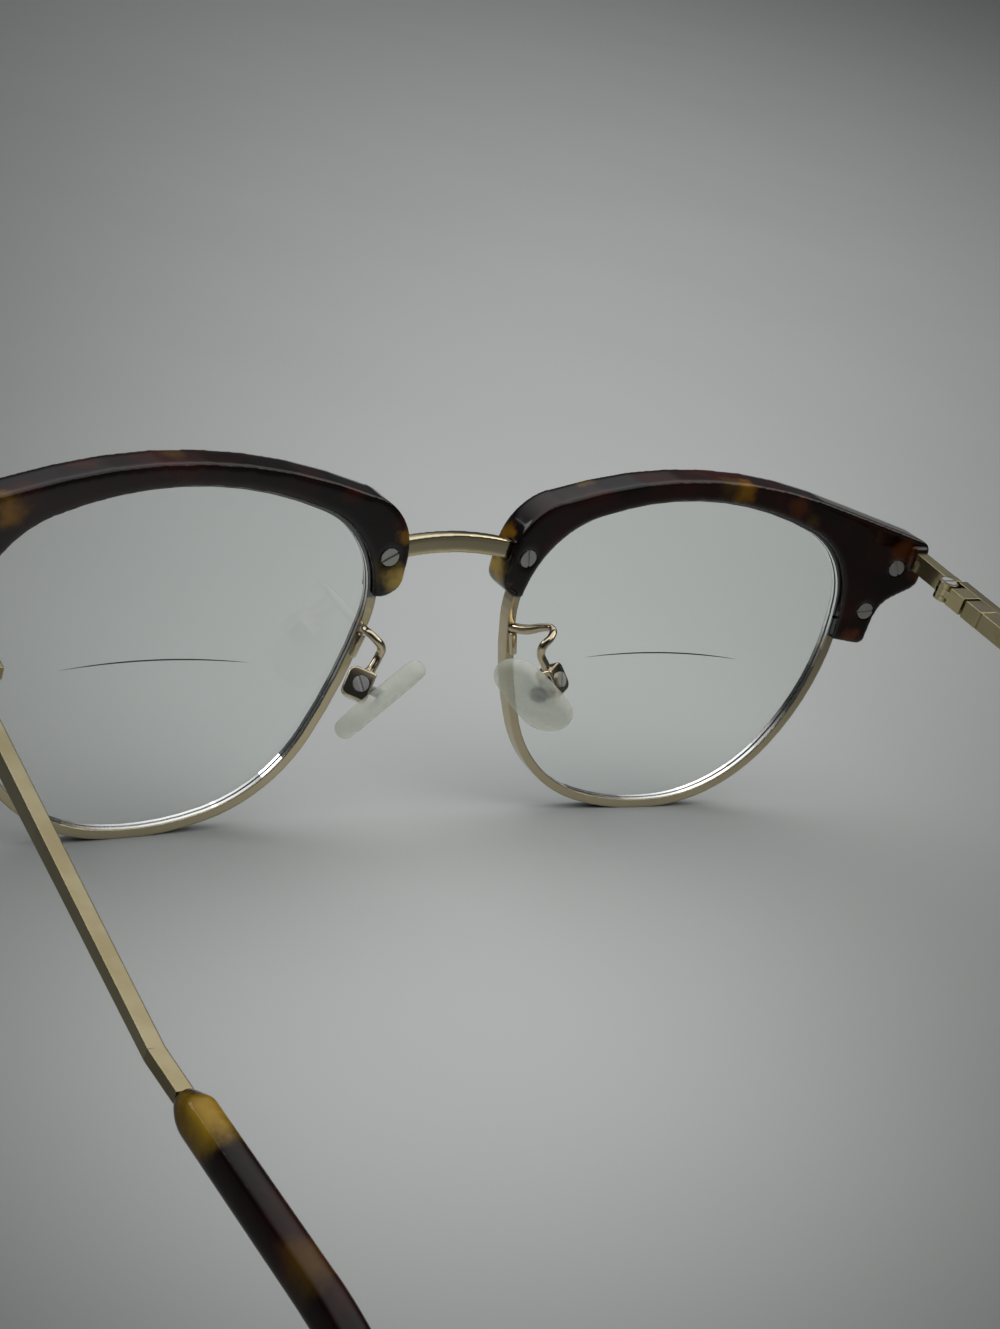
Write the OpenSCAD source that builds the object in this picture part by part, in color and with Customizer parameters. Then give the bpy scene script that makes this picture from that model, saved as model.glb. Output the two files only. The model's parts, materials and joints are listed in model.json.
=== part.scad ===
// Browline glasses, standing open on the rim bottoms and the ends of the temple tips.
// X runs to the wearer's left, Y runs back along the temples, Z is up.
// The origin is on the ground, in the middle of the outside box.

/* [Lens outline] */
// Middle of each lens, out from the middle of the nose
lens_out = 36; // [30:0.1:42]
// Low corner on the nose side: across and up from the lens middle, then its radius
lens_low_nose = [-3.15, -2.11, 18.89]; // [-20:0.01:25]
// Low corner on the temple side
lens_low_side = [2.34, -0.62, 20.92]; // [-20:0.01:25]
// Top corner on the temple side
lens_top_side = [12.66, 7.00, 12.07]; // [-20:0.01:25]
// Top corner on the nose side
lens_top_nose = [-12.38, 6.91, 12.66]; // [-20:0.01:25]
// Radii of the long arcs between those corners: bottom, temple side, top, nose side
lens_arc_radii = [32.76, 29.94, 47.67, 55.74]; // [20:0.01:90]
// Radius of the sphere that each half of the front is curved to
front_curve = 241; // [120:1:400]
// Where that sphere comes furthest forward, out from the middle of the nose
curve_middle = 23.4; // [10:0.1:36]
// Height of that place above the lens middle
curve_up = 4; // [-10:0.5:20]
// How far forward of the nose it comes
curve_forward = 1.54; // [0:0.01:4]

/* [Lens] */
// Thickness of the lens
lens_thick = 1.8; // [1:0.1:4]
// How far the ridge on the lens edge reaches into the rim
ridge_deep = 0.45; // [0.2:0.05:0.8]
// Width of that ridge
ridge_wide = 0.7; // [0.4:0.05:1.2]
// Gap all round the lens in its rim
lens_gap = 0.03; // [0.01:0.01:0.1]
// Width of the reading segment along its top line
segment_wide = 25; // [20:0.5:35]
// Height of the segment's top line above the lens middle
segment_up = -1.15; // [-8:0.05:4]
// Middle of the segment, out from the lens middle
segment_out = 0.5; // [-4:0.1:4]
// Radius of the segment's rounded lower edge
segment_round = 14; // [11:0.5:20]
// Radius of the slightly arched top line
segment_arch = 110; // [60:1:300]
// Step that the segment stands proud of the lens front
segment_step = 0.12; // [0.05:0.01:0.3]

/* [Rim] */
// Width of the rim wire, out from the lens
rim_wide = 1.15; // [0.8:0.05:2.5]
// Depth of the rim wire, front to back
rim_deep = 2.0; // [1.5:0.1:4]
// Depth of the flat under each rim that it stands on
rest_flat = 0.05; // [0.02:0.01:0.2]
// Height of the split in the rim above the lens middle
split_up = 6.2; // [0:0.1:12]
// Gap at that split
split_gap = 0.3; // [0.1:0.05:0.6]
// Closing block that the split rim is drawn together by: across, deep and tall
close_block = [1.7, 1.9, 5.0]; // [1:0.1:8]
// Outer face of the closing block, out from the middle of the nose
close_out = 63.6; // [60:0.05:68]
// Diameter of the closing screw
close_screw_d = 1.0; // [0.6:0.05:1.6]
// Diameter of its head
close_head_d = 1.5; // [1:0.05:2.2]

/* [Brow] */
// Depth of the brow in front of the rim's rear face
brow_front = 3.5; // [2.4:0.1:6]
// Depth of the brow behind the rim's rear face
brow_rear = 0.9; // [0.4:0.1:3]
// Tip of the brow beside the nose: out, up from the lens middle, then its radius
brow_nose_tip = [10.0, 11.0, 2.7]; // [-60:0.1:80]
// Foot of the brow on the temple side
brow_foot = [65, 3.9, 1]; // [-60:0.1:80]
// Hollow between the foot and the end, where a minus radius is a hollow
brow_hollow = [70.7, 6.5, -4.4]; // [-60:0.1:80]
// Lower corner of the end
brow_end_low = [69.4, 13.2, 1.9]; // [-60:0.1:80]
// Upper corner of the end
brow_end_high = [69.6, 17, 1.8]; // [-60:0.1:80]
// Crown of the brow
brow_crown = [36.3, -50.2, 75.0]; // [-60:0.1:80]
// Upper corner beside the nose
brow_nose_top = [15.5, 13.5, 8.1]; // [-60:0.1:80]
// How far the brow's rear lip stops short of the lens, all round
brow_lip = 0.4; // [0:0.05:1]
// How far the brow's front lip stops short of the lens
front_lip = 0.85; // [0:0.05:1.1]
// How much further it stops short on the temple side than on the nose side
front_lip_shift = 0.3; // [0:0.05:0.6]
// Gap between the brow and the metal inside it
brow_gap = 0.03; // [0.01:0.01:0.2]

/* [Brow screws] */
// Screw beside the nose: out, and up from the lens middle
nose_screw_at = [9.8, 13.6]; // [0:0.1:80]
// Upper screw at the end
end_screw_high = [67.5, 14.5]; // [0:0.1:80]
// Lower screw at the end
end_screw_low = [64.9, 7.8]; // [0:0.1:80]
// Diameter of the screw heads
screw_head_d = 2.28; // [1.6:0.01:3.5]
// Thickness of the screw heads
screw_head_tall = 0.5; // [0.3:0.05:1]
// How far the heads stand out of the brow
screw_proud = 0.1; // [0:0.05:0.4]
// Diameter of the shanks
screw_d = 1.1; // [0.8:0.05:1.6]
// Length of the screws under the head
screw_long = 2.9; // [2:0.1:4]
// Width of the driver slots
slot_wide = 0.32; // [0.2:0.01:0.6]
// Depth of the driver slots
slot_deep = 0.25; // [0.1:0.01:0.4]

/* [Bridge] */
// Height of the bridge bar
bridge_tall = 2.4; // [1.5:0.1:4]
// Thickness of the bridge bar, front to back
bridge_thick = 1.4; // [1:0.1:3]
// Radius that the bridge is arched to
bridge_arch = 36; // [15:0.5:80]
// Height of the bridge's middle above the lens middle
bridge_up = 15.1; // [8:0.1:20]
// Distance from the bridge middle to where it enters a brow
bridge_half = 9; // [6:0.1:12]
// Middle of the bridge bar in front of the rims' rear faces
bridge_forward = 1.5; // [0:0.1:3]
// Thickness of the tongues on its ends
tongue_thick = 1.1; // [0.6:0.05:2]
// Middle of those tongues in front of the rims' rear faces
tongue_forward = 0.62; // [0:0.02:2]

/* [End pieces and hinges] */
// Hinge axis: out from the nose, back from the nose, up from the lens middle
hinge_at = [68.6, 12.2, 15.2]; // [0:0.01:80]
// Slope of the temples down toward the ear
temple_slope = 6; // [0:0.1:12]
// Angle that each temple spreads outward
temple_splay = 1.9; // [0:0.1:6]
// Thickness of the end piece's bar
bar_thick = 1.8; // [0.8:0.05:2]
// Inner face of that bar, out from the hinge axis
bar_out = 0.6; // [0.4:0.05:1.2]
// Height of that bar
bar_tall = 2.5; // [2:0.1:4]
// Length of that bar in front of the hinge axis
bar_long = 10.2; // [6:0.1:12]
// Thickness of the plate inside the brow
plate_thick = 1.2; // [0.8:0.05:2]
// Front of that plate, forward of the rim's rear face
plate_forward = 1.7; // [1:0.05:2.5]
// Outside radius of the hinge knuckles
knuckle_r = 1.3; // [0.9:0.05:2]
// Height of the whole hinge
knuckle_tall = 2.6; // [2:0.05:4]
// Height of the middle knuckle
middle_tall = 1; // [0.8:0.02:2]
// Gap above and below the middle knuckle
knuckle_gap = 0.05; // [0.02:0.01:0.2]
// Diameter of the hinge screw
hinge_screw_d = 1.2; // [0.8:0.02:1.8]
// Diameter of its head
hinge_head_d = 2.0; // [1.4:0.05:3]
// Running gap round the hinge screw
hinge_fit = 0.03; // [0.01:0.01:0.08]

/* [Spring hinge] */
// Inner face of the spring case, in from the hinge axis
case_in = 1; // [0.6:0.05:2]
// Front of the spring case, behind the hinge axis
case_front = 4.8; // [3:0.05:7]
// Length of the spring case
case_long = 12.4; // [10:0.1:22]
// Height of the spring case
case_tall = 2.4; // [2.2:0.1:4]
// Length of the case's tapered rear end
case_taper = 3.8; // [1:0.1:6]
// How far its lower edge rises over that length
case_rise = 1.1; // [0:0.05:2]
// Length of the cap on the front of the case, up to a groove
case_cap = 3; // [1:0.1:6]
// Depth of that groove
groove_deep = 0.12; // [0.05:0.01:0.3]
// Thickness of the wall that the rod slides through
collar_long = 1.5; // [1:0.1:3]
// Diameter of the bore that holds the spring
spring_bore_d = 1.5; // [1:0.02:2]
// Diameter of the sliding rod
rod_d = 0.7; // [0.5:0.02:1.2]
// Running gap round the rod
rod_fit = 0.03; // [0.01:0.01:0.08]
// Length of the rod behind the front of the case
rod_long = 8; // [6:0.1:16]
// Diameter of the rod's head
rod_head_d = 1.4; // [1:0.02:2]
// Length of that head
rod_head_long = 0.9; // [0.5:0.1:2]
// Thickness of the spring wire
spring_wire = 0.2; // [0.1:0.01:0.4]
// Number of turns in the spring
spring_turns = 12; // [6:1:24]
// Front of the slider's block, behind the hinge axis
block_front = 1.6; // [1.4:0.05:3]
// Gap between that block and the spring case
block_gap = 0.5; // [0.1:0.05:1]

/* [Temples] */
// Inner face of the temple bar, out from the hinge axis
temple_out = 1.9; // [1:0.05:3]
// Thickness of the temple bar
temple_thick = 1.5; // [0.8:0.05:2.5]
// Height of the temple bar beside the spring case
temple_tall = 2.4; // [2:0.1:5]
// Distance from the hinge axis to the place where the bar becomes slimmer
temple_mid_at = 50; // [30:1:60]
// Height of the temple bar there
temple_mid_tall = 1.62; // [1:0.02:4]
// Height of the temple bar where it enters the tip
temple_end_tall = 1.2; // [1:0.1:3]
// Distance from the hinge axis to where the temple turns inward
turn_at = 71; // [60:0.5:90]
// Angle that it turns inward there
turn_in = 6.65; // [0:0.05:12]
// Distance from the hinge axis to the front of the tip
tip_front = 76; // [60:0.5:100]
// Distance from the hinge axis to the bend behind the ear
bend_at = 97; // [85:0.5:115]
// Radius of that bend
bend_radius = 30; // [15:0.5:60]
// Angle of that bend
bend_angle = 35; // [10:0.5:60]
// Height of the tip
tip_tall = 4; // [3:0.1:7]
// Thickness of the tip
tip_thick = 2.9; // [2:0.1:4.5]
// Radius of the tip's long edges
tip_round = 1.2; // [0.4:0.05:2]
// Length of the tip's tapered front
tip_taper = 4.5; // [1:0.1:10]
// Height of the wire inside the tip
core_tall = 1; // [0.8:0.05:2]
// Thickness of that wire
core_thick = 0.9; // [0.6:0.05:1.5]
// Gap round that wire
core_gap = 0.02; // [0.01:0.01:0.1]
// How far the wire stops short of the end of the tip
core_short = 7; // [3:0.5:20]

/* [Nose pads] */
// Middle of the pad: out, back from the nose, up from the lens middle
pad_at = [10.87, 6.52, -1.91]; // [-10:0.01:20]
// Angle of the pad's long way from upright, seen from the front
pad_flare = 49.4; // [10:0.1:70]
// Angle that the pad's lower end leans back
pad_lean = 3.8; // [-20:0.1:30]
// Angle that the pad's face is turned toward the wearer
pad_splay = 40; // [0:0.5:60]
// Upper end of the pad: place along it, then radius
pad_top_end = [-3.85, 2.8]; // [-10:0.05:10]
// Lower end of the pad: place along it, then radius
pad_low_end = [3.4, 3.3]; // [-10:0.05:10]
// Radius of the pad's long sides
pad_side = 24; // [8:0.5:40]
// Thickness of the pad
pad_thick = 2; // [1.5:0.1:4]
// Insert inside the pad: long, wide and thick
insert_size = [5.2, 2.8, 0.8]; // [0.4:0.1:8]
// How far the insert lies across the pad
insert_side = -0.9; // [-1.5:0.05:1.5]
// Diameter of the stem on the insert
stem_d = 1.1; // [0.8:0.05:2]
// Distance from the pad's middle to the middle of the arm's box
box_back = 2.85; // [2:0.05:4]
// How far that box lies toward the pad's lower end
box_along = 1.1; // [-2:0.05:2]
// How far the box lies across the pad, toward its rear edge
box_side = -1.4; // [-2:0.05:2]
// Angle that the box is tipped about its screw
box_tip = -27; // [-40:1:40]
// Outside of the arm's box: along the pad, across it, and along the stem
box_size = [2.5, 2.3, 2.6]; // [1.5:0.05:4]
// Inside of the arm's box: along the pad and across it
box_inside = [2, 1.4]; // [1:0.05:3]
// Diameter of the pad screw
pad_screw_d = 0.7; // [0.4:0.02:1]
// Diameter of its head
pad_head_d = 1.9; // [1:0.05:2.4]
// Running gap round the pad screw
pad_fit = 0.03; // [0.01:0.01:0.08]
// Diameter of the arm's wire
arm_wire = 1.1; // [0.6:0.05:1.5]
// Bends of the arm, each out, back from the nose and up from the lens middle
arm_root = [10.9, -1.2, 3.7]; // [-10:0.05:20]
// First bend, behind the rim
arm_rise = [11.6, 0.76, 4.31]; // [-10:0.01:20]
// Second bend, where the loop is furthest out
arm_out = [12.9, 2.7, 5.5]; // [-10:0.01:20]
// Third bend, at the top of the loop
arm_top = [13.3, 3.7, 5.82]; // [-10:0.01:20]
// Fourth bend, furthest back
arm_far = [12.53, 5, 5.31]; // [-10:0.01:20]
// Fifth bend, where the loop comes back toward the nose
arm_in = [11.5, 5.2, 4.1]; // [-10:0.01:20]
// Sixth bend, above the box
arm_down = [11.58, 5.1, 3.05]; // [-10:0.01:20]
// Last bend, where the wire runs into the box
arm_end = [12.35, 5.5, 1.7]; // [-10:0.01:20]
// Foot of the arm on the rim: across, deep and tall
foot_size = [0.9, 1, 3.1]; // [0.4:0.05:6]

/* [Hidden] */
$fn = 64;
fine = 256;
arc_step = 5;
join = 0.02;
far = 60;

// Depth of the curved front at a place across and up, and which way it faces there.
function face_y(x, z) = front_curve - curve_forward
    - sqrt(pow(front_curve, 2) - pow(x - curve_middle, 2) - pow(z - curve_up, 2));
function face_turn(x) = asin((x - curve_middle) / front_curve);
function face_tilt(z) = asin((z - curve_up) / front_curve);

function unit(v) = v / norm(v);
function flat(c) = [c[0], c[1]];

// Middle of the arc of radius s that runs tangent from corner circle a to corner circle b, inside on its left.
function arc_middle(a, b, s) =
    let (
        d = flat(b) - flat(a),
        long = norm(d),
        ra = abs(s - a[2]),
        rb = abs(s - b[2]),
        along = (ra * ra - rb * rb + long * long) / (2 * long),
        off = sqrt(max(0, ra * ra - along * along)),
        side = sign(s) * sign(s - a[2]) * sign(s - b[2]),
        u = d / long
    )
    flat(a) + along * u + side * off * [-u[1], u[0]];

// Where corner circle c touches the arc with middle m and radius s.
function touch(c, m, s) = m + s * sign(s - c[2]) * unit(flat(c) - m);

// Points from p toward q round middle m, where a minus radius turns the other way.
function arc_points(m, r, p, q) =
    let (
        from = atan2((p - m)[1], (p - m)[0]),
        to = atan2((q - m)[1], (q - m)[0]),
        turn = r > 0 ? (to - from + 720) % 360 : -((from - to + 720) % 360),
        steps = max(1, ceil(abs(turn) / arc_step))
    )
    [for (k = [0 : steps - 1]) m + abs(r) * [cos(from + turn * k / steps), sin(from + turn * k / steps)]];

// Outline of tangent arcs through corner circles, grown outward by d on every side.
function arc_outline(corners, radii, d = 0) =
    let (
        count = len(corners),
        c = [for (k = corners) [k[0], k[1], k[2] + d]],
        s = [for (r = radii) r + d],
        m = [for (i = [0 : count - 1]) arc_middle(c[i], c[(i + 1) % count], s[i])],
        leave = [for (i = [0 : count - 1]) touch(c[i], m[i], s[i])],
        arrive = [for (i = [0 : count - 1]) touch(c[(i + 1) % count], m[i], s[i])]
    )
    [
        for (i = [0 : count - 1])
            let (next = (i + 1) % count)
            each concat(
                arc_points(m[i], s[i], leave[i], arrive[i]),
                arc_points(flat(c[next]), c[next][2], arrive[i], leave[next])
            )
    ];

lens_corners = [
    for (c = [lens_low_nose, lens_low_side, lens_top_side, lens_top_nose]) [lens_out + c[0], c[1], c[2]]
];
lens_bottom = arc_middle(lens_corners[0], lens_corners[1], lens_arc_radii[0])[1] - lens_arc_radii[0];
lens_up = rim_wide - lens_bottom - rest_flat;
brow_corners = [
    brow_nose_tip, brow_foot, brow_hollow, brow_end_low, brow_end_high, brow_crown, brow_nose_top
];
brow_radii = [2000, 2000, 2000, 60, 600, 32, 2000];

// Ear end of the tip, in the temple's own frame: along the temple, and up.
hinge_up = lens_up + hinge_at[2];
tip_end_r = tip_tall / 2;
bend_drop = bend_radius * (1 - cos(bend_angle));
bend_reach = bend_at + bend_radius * sin(bend_angle);
tip_side = tip_thick / 2 - 0.25;
end_dip = sin(turn_in) * sin(temple_slope);
end_low = tip_side * end_dip + tip_end_r * sqrt(1 - end_dip * end_dip);
ear_long = (hinge_up - end_low - bend_drop * cos(temple_slope)
    - (turn_at + (bend_reach - turn_at) * cos(turn_in)) * sin(temple_slope))
    / (sin(bend_angle) * cos(temple_slope) + cos(bend_angle) * cos(turn_in) * sin(temple_slope));
tip_end_along = bend_reach + ear_long * cos(bend_angle);
tip_end_up = -bend_drop - ear_long * sin(bend_angle);

// Rearmost place on the end of the tip.
bar_middle = temple_out + temple_thick / 2;
end_out = bar_middle - (tip_end_along - turn_at) * sin(turn_in);
end_back = turn_at + (tip_end_along - turn_at) * cos(turn_in);
end_lean = sin(turn_in) * cos(temple_slope) * cos(temple_splay) - cos(turn_in) * sin(temple_splay);
rear_y = hinge_at[1] - end_out * sin(temple_splay)
    + (end_back * cos(temple_slope) + tip_end_up * sin(temple_slope)) * cos(temple_splay)
    + tip_side * abs(end_lean) + tip_end_r * sqrt(1 - end_lean * end_lean);

// Frontmost place on the brow, which is where its edge over the lens comes nearest to the curve's middle.
lens_points = arc_outline(lens_corners, lens_arc_radii, front_lip);
brow_low = [for (c = [brow_nose_tip, brow_foot]) [c[0], c[1] - c[2]]];
brow_fall = (brow_low[1][1] - brow_low[0][1]) / (brow_low[1][0] - brow_low[0][0]);
nearest = min([
    for (i = [0 : len(lens_points) - 1], k = [0 : 0.05 : 1])
        let (
            to = lens_points[(i + 1) % len(lens_points)],
            p = lens_points[i] * (1 - k) + to * k + [front_lip_shift, 0]
        )
        if (p[1] > brow_low[0][1] + brow_fall * (p[0] - brow_low[0][0]))
            pow(p[0] - curve_middle, 2) + pow(p[1] - curve_up, 2)
]);
front_y = front_curve - curve_forward - sqrt(pow(front_curve + brow_front, 2) - nearest);
middle_y = (rear_y + front_y) / 2;

module lens_outline(d) { polygon(arc_outline(lens_corners, lens_arc_radii, d)); }
module brow_outline() { polygon(arc_outline(brow_corners, brow_radii)); }

// Moves a side from the nose to its place over the ground.
module set_down() { translate([0, -middle_y, lens_up]) children(); }

// Stands a flat outline up across the front.
module stand(y0, y1) { translate([0, y1, 0]) rotate([90, 0, 0]) linear_extrude(y1 - y0) children(); }

// Keeps what lies between two depths of the curved front.
module between(y0, y1) {
    intersection() {
        stand(-8, 14) children();
        translate([curve_middle, front_curve - curve_forward, curve_up]) difference() {
            sphere(r = front_curve - y0, $fn = 2 * fine);
            sphere(r = front_curve - y1, $fn = 2 * fine);
        }
    }
}

// Puts its children square to the curved front at a place across and up, with Z pointing back.
module on_front(at, y = 0) {
    translate([at[0], face_y(at[0], at[1]), at[1]]) rotate([0, 0, face_turn(at[0])])
        rotate([-face_tilt(at[1]), 0, 0]) translate([0, y, 0]) rotate([-90, 0, 0]) children();
}

module lens() {
    middle = -rim_deep / 2;
    difference() {
        union() {
            between(middle - lens_thick / 2, middle + lens_thick / 2) lens_outline(-lens_gap);
            between(middle - ridge_wide / 2, middle + ridge_wide / 2) lens_outline(ridge_deep - lens_gap);
            between(middle - lens_thick / 2 - segment_step, middle) segment_outline();
        }
    }
}

module segment_outline() {
    at = [lens_out + segment_out, segment_up];
    half = segment_wide / 2;
    intersection() {
        translate(at - [0, sqrt(segment_round * segment_round - half * half)])
            circle(r = segment_round, $fn = fine);
        translate(at - [0, segment_arch - 0.5]) circle(r = segment_arch, $fn = fine);
        translate(at - [half, 2 * segment_round]) square([2 * half, 2 * segment_round + 1]);
    }
}

module rim() {
    middle = -rim_deep / 2;
    difference() {
        union() {
            between(-rim_deep, 0) difference() {
                lens_outline(rim_wide);
                lens_outline(0);
            }
            close_body(0);
        }
        between(middle - ridge_wide / 2 - lens_gap, middle + ridge_wide / 2 + lens_gap)
            lens_outline(ridge_deep);
        translate([close_out - 8, -8, split_up - split_gap / 2]) cube([10, 20, split_gap]);
        translate([lens_out - 10, -8, -lens_up - 2]) cube([20, 20, 2]);
        close_screw_cut(0);
    }
}

// Block on the temple side of the rim, with its split at the split in the rim.
module close_body(grow) {
    y = close_y;
    inner = close_out - close_block[0] - 0.6;
    translate([inner - grow, y - close_block[1] / 2 - grow, split_up - close_block[2] / 2 - grow])
        cube([close_out - inner + 2 * grow, close_block[1] + 2 * grow, close_block[2] + 2 * grow]);
}

case_middle = (temple_out - case_in) / 2;
close_x = close_out - close_block[0] / 2;
close_y = face_y(close_out, split_up) - rim_deep / 2;

module close_screw_cut(grow) {
    translate([close_x, close_y, split_up - close_block[2] / 2 - 0.01]) {
        cylinder(d = close_screw_d + 2 * grow, h = close_block[2] + 0.1);
        cylinder(d = close_head_d + 2 * grow + 0.04, h = 0.7);
    }
}

module close_screw() {
    bottom = split_up - close_block[2] / 2 + 0.1;
    difference() {
        translate([close_x, close_y, bottom]) {
            cylinder(d = close_screw_d, h = close_block[2] - 0.3);
            cylinder(d = close_head_d, h = 0.58);
        }
        translate([close_x - 1, close_y - slot_wide / 2, bottom - 0.1]) cube([2, slot_wide, slot_deep + 0.1]);
    }
}

// The end piece's own place: hinge axis up, temple straight back.
module at_hinge() {
    translate([hinge_at[0], hinge_at[1], hinge_at[2]]) rotate([0, 0, -temple_splay])
        rotate([-temple_slope, 0, 0]) children();
}

module end_bar(grow) {
    translate([bar_out - grow, -bar_long, -bar_tall / 2 - grow])
        cube([bar_thick + 2 * grow, bar_long - 0.03, bar_tall + 2 * grow]);
}

module end_piece() {
    side = (knuckle_tall - middle_tall) / 2 - knuckle_gap;
    difference() {
        union() {
            between(-plate_forward, -plate_forward + plate_thick) plate_shape(0);
            at_hinge() {
                end_bar(0);
                for (w = [-knuckle_tall / 2, knuckle_tall / 2 - side]) translate([0, 0, w]) {
                    cylinder(r = knuckle_r, h = side);
                    translate([0, -knuckle_r, 0]) cube([bar_out + bar_thick, knuckle_r - 0.03, side]);
                }
            }
        }
        at_hinge() {
            translate([0, 0, -middle_tall / 2 - knuckle_gap])
                cylinder(r = knuckle_r + 0.08, h = middle_tall + 2 * knuckle_gap);
            translate([0, 0, -4]) cylinder(d = hinge_screw_d, h = 8);
            translate([0, 0, knuckle_tall / 2 - 0.45]) cylinder(d = hinge_head_d + 0.04, h = 1);
        }
        for (s = [end_screw_low, end_screw_high]) on_front(s, -6) cylinder(d = screw_d, h = 12);
    }
}

// Metal plate that the end screws hold inside the brow.
module plate_shape(grow) {
    translate([close_out + 0.05 - grow, split_up + 0.3 - grow]) square([2.6 + 2 * grow, 6.2 + 2 * grow]);
    translate(end_screw_low) circle(r = 1.2 + grow);
    translate([64.4 - grow, 9 - grow]) square([3.4 + 2 * grow, 7.2 + 2 * grow]);
    translate([66 - grow, 13 - grow]) square([4.55 + 2 * grow, 4.2 + 2 * grow]);
}

module screw_hole(at) {
    on_front(at) {
        translate([0, 0, brow_rear - screw_head_tall + screw_proud]) cylinder(d = screw_head_d + 0.04, h = 2);
        translate([0, 0, brow_rear + screw_proud - screw_head_tall - screw_long]) cylinder(d = screw_d, h = 4);
    }
}

module brow() {
    difference() {
        between(-brow_front, brow_rear) difference() {
            brow_outline();
            lens_outline(brow_lip);
        }
        between(-brow_front - 1, -rim_deep) translate([front_lip_shift, 0]) lens_outline(front_lip);
        between(-rim_deep - brow_gap, brow_gap) difference() {
            lens_outline(rim_wide + brow_gap);
            lens_outline(-1);
        }
        close_body(brow_gap + 0.02);
        translate([close_x - 0.9, close_y - 0.9, 0]) cube([1.8, 1.8, split_up]);
        between(-plate_forward - brow_gap, -plate_forward + plate_thick + brow_gap) plate_shape(brow_gap);
        at_hinge() end_bar(brow_gap);
        bridge_bar(brow_gap);
        tongue(brow_gap);
        for (s = [nose_screw_at, end_screw_low, end_screw_high]) screw_hole(s);
    }
}

module brow_screw(at, turn) {
    on_front(at) translate([0, 0, brow_rear + screw_proud - screw_head_tall]) difference() {
        union() {
            cylinder(d = screw_head_d, h = screw_head_tall);
            translate([0, 0, -screw_long + 0.1]) cylinder(d = screw_d, h = screw_long);
        }
        rotate([0, 0, turn]) translate([-2, -slot_wide / 2, screw_head_tall - slot_deep]) cube([4, slot_wide, 1]);
    }
}

// Arched bar of the bridge, from inside one brow to inside the other.
module bridge_bar(grow) {
    sweep = asin(bridge_half / bridge_arch) + grow;
    translate([0, -bridge_forward, bridge_up - bridge_arch]) rotate([90, 0, 0]) rotate([0, 0, 90 - sweep])
        rotate_extrude(angle = 2 * sweep, $fn = fine)
            translate([bridge_arch - bridge_tall / 2 - grow, -bridge_thick / 2 - grow])
                square([bridge_tall + 2 * grow, bridge_thick + 2 * grow]);
}

// Tongue at one end of the bridge, which the nose screw holds.
module tongue(grow) {
    y = -tongue_forward;
    between(y - tongue_thick / 2 - grow, y + tongue_thick / 2 + grow) difference() {
        union() {
            translate([bridge_half - 1.2 - grow, nose_screw_at[1] - bridge_tall / 2 + 0.1 - grow])
                square([4.4 + grow, bridge_tall + 2 * grow]);
            translate(nose_screw_at) circle(r = bridge_tall / 2 + grow);
        }
        lens_outline(rim_wide + (grow > 0 ? -0.3 : 0));
    }
}

module bridge_piece() {
    difference() {
        union() {
            bridge_bar(0);
            tongue(0);
            mirror([1, 0, 0]) tongue(0);
        }
        on_front(nose_screw_at, -6) cylinder(d = screw_d, h = 12);
        mirror([1, 0, 0]) on_front(nose_screw_at, -6) cylinder(d = screw_d, h = 12);
    }
}

// Nose pad frame: X along the pad toward its lower end, Z out of the face that meets the nose.
pad_x = [sin(pad_flare) * cos(pad_lean), sin(pad_lean), -cos(pad_flare) * cos(pad_lean)];
pad_flat = unit([-cos(pad_flare), 0, -sin(pad_flare)]);
pad_zero = unit(pad_flat - (pad_flat * pad_x) * pad_x);
pad_z = cos(pad_splay) * pad_zero + sin(pad_splay) * cross(pad_x, pad_zero);
pad_y = cross(pad_z, pad_x);
box_way = cos(box_tip) * pad_x - sin(box_tip) * pad_z;
box_middle = pad_at - box_back * pad_z + box_along * pad_x + box_side * pad_y;

module at_pad(back = 0) {
    multmatrix([
        [pad_x[0], pad_y[0], pad_z[0], pad_at[0] - back * pad_z[0]],
        [pad_x[1], pad_y[1], pad_z[1], pad_at[1] - back * pad_z[1]],
        [pad_x[2], pad_y[2], pad_z[2], pad_at[2] - back * pad_z[2]],
        [0, 0, 0, 1]
    ]) children();
}

// The box's own place, with Y along its screw.
module at_box() { at_pad(box_back) translate([box_along, box_side, 0]) rotate([0, box_tip, 0]) children(); }

module pad_outline() {
    polygon(arc_outline(
        [[pad_top_end[0], 0, pad_top_end[1]], [pad_low_end[0], 0, pad_low_end[1]]],
        [pad_side, pad_side]
    ));
}

module insert_shape(grow) {
    half = insert_size[0] / 2 - insert_size[1] / 2;
    at_pad() translate([0, insert_side, -insert_size[2] / 2 - grow])
        linear_extrude(insert_size[2] + 2 * grow) union() {
            for (x = [-half, half]) translate([x, 0]) circle(d = insert_size[1] + 2 * grow);
            square([2 * half, insert_size[1] + 2 * grow], center = true);
        }
    at_box() translate([0, 0, -stem_d / 2])
        cylinder(d = stem_d + 2 * grow, h = box_back / cos(box_tip) + stem_d / 2);
}

module nose_pad() {
    difference() {
        at_pad() translate([0, 0, -pad_thick / 2]) linear_extrude(pad_thick) pad_outline();
        insert_shape(0.01);
    }
}

module pad_insert() {
    difference() {
        insert_shape(0);
        at_box() rotate([90, 0, 0]) cylinder(d = pad_screw_d + 2 * pad_fit, h = 6, center = true);
    }
}

module pad_screw() {
    at_box() rotate([90, 0, 0]) {
        difference() {
            union() {
                translate([0, 0, -box_size[1] / 2 + 0.1]) cylinder(d = pad_screw_d, h = box_size[1]);
                translate([0, 0, box_size[1] / 2 - 0.05]) cylinder(d = pad_head_d, h = 0.4);
            }
            rotate([0, 0, 40])
                translate([-1, -slot_wide / 2, box_size[1] / 2 + 0.15]) cube([2, slot_wide, 1]);
        }
    }
}

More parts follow.
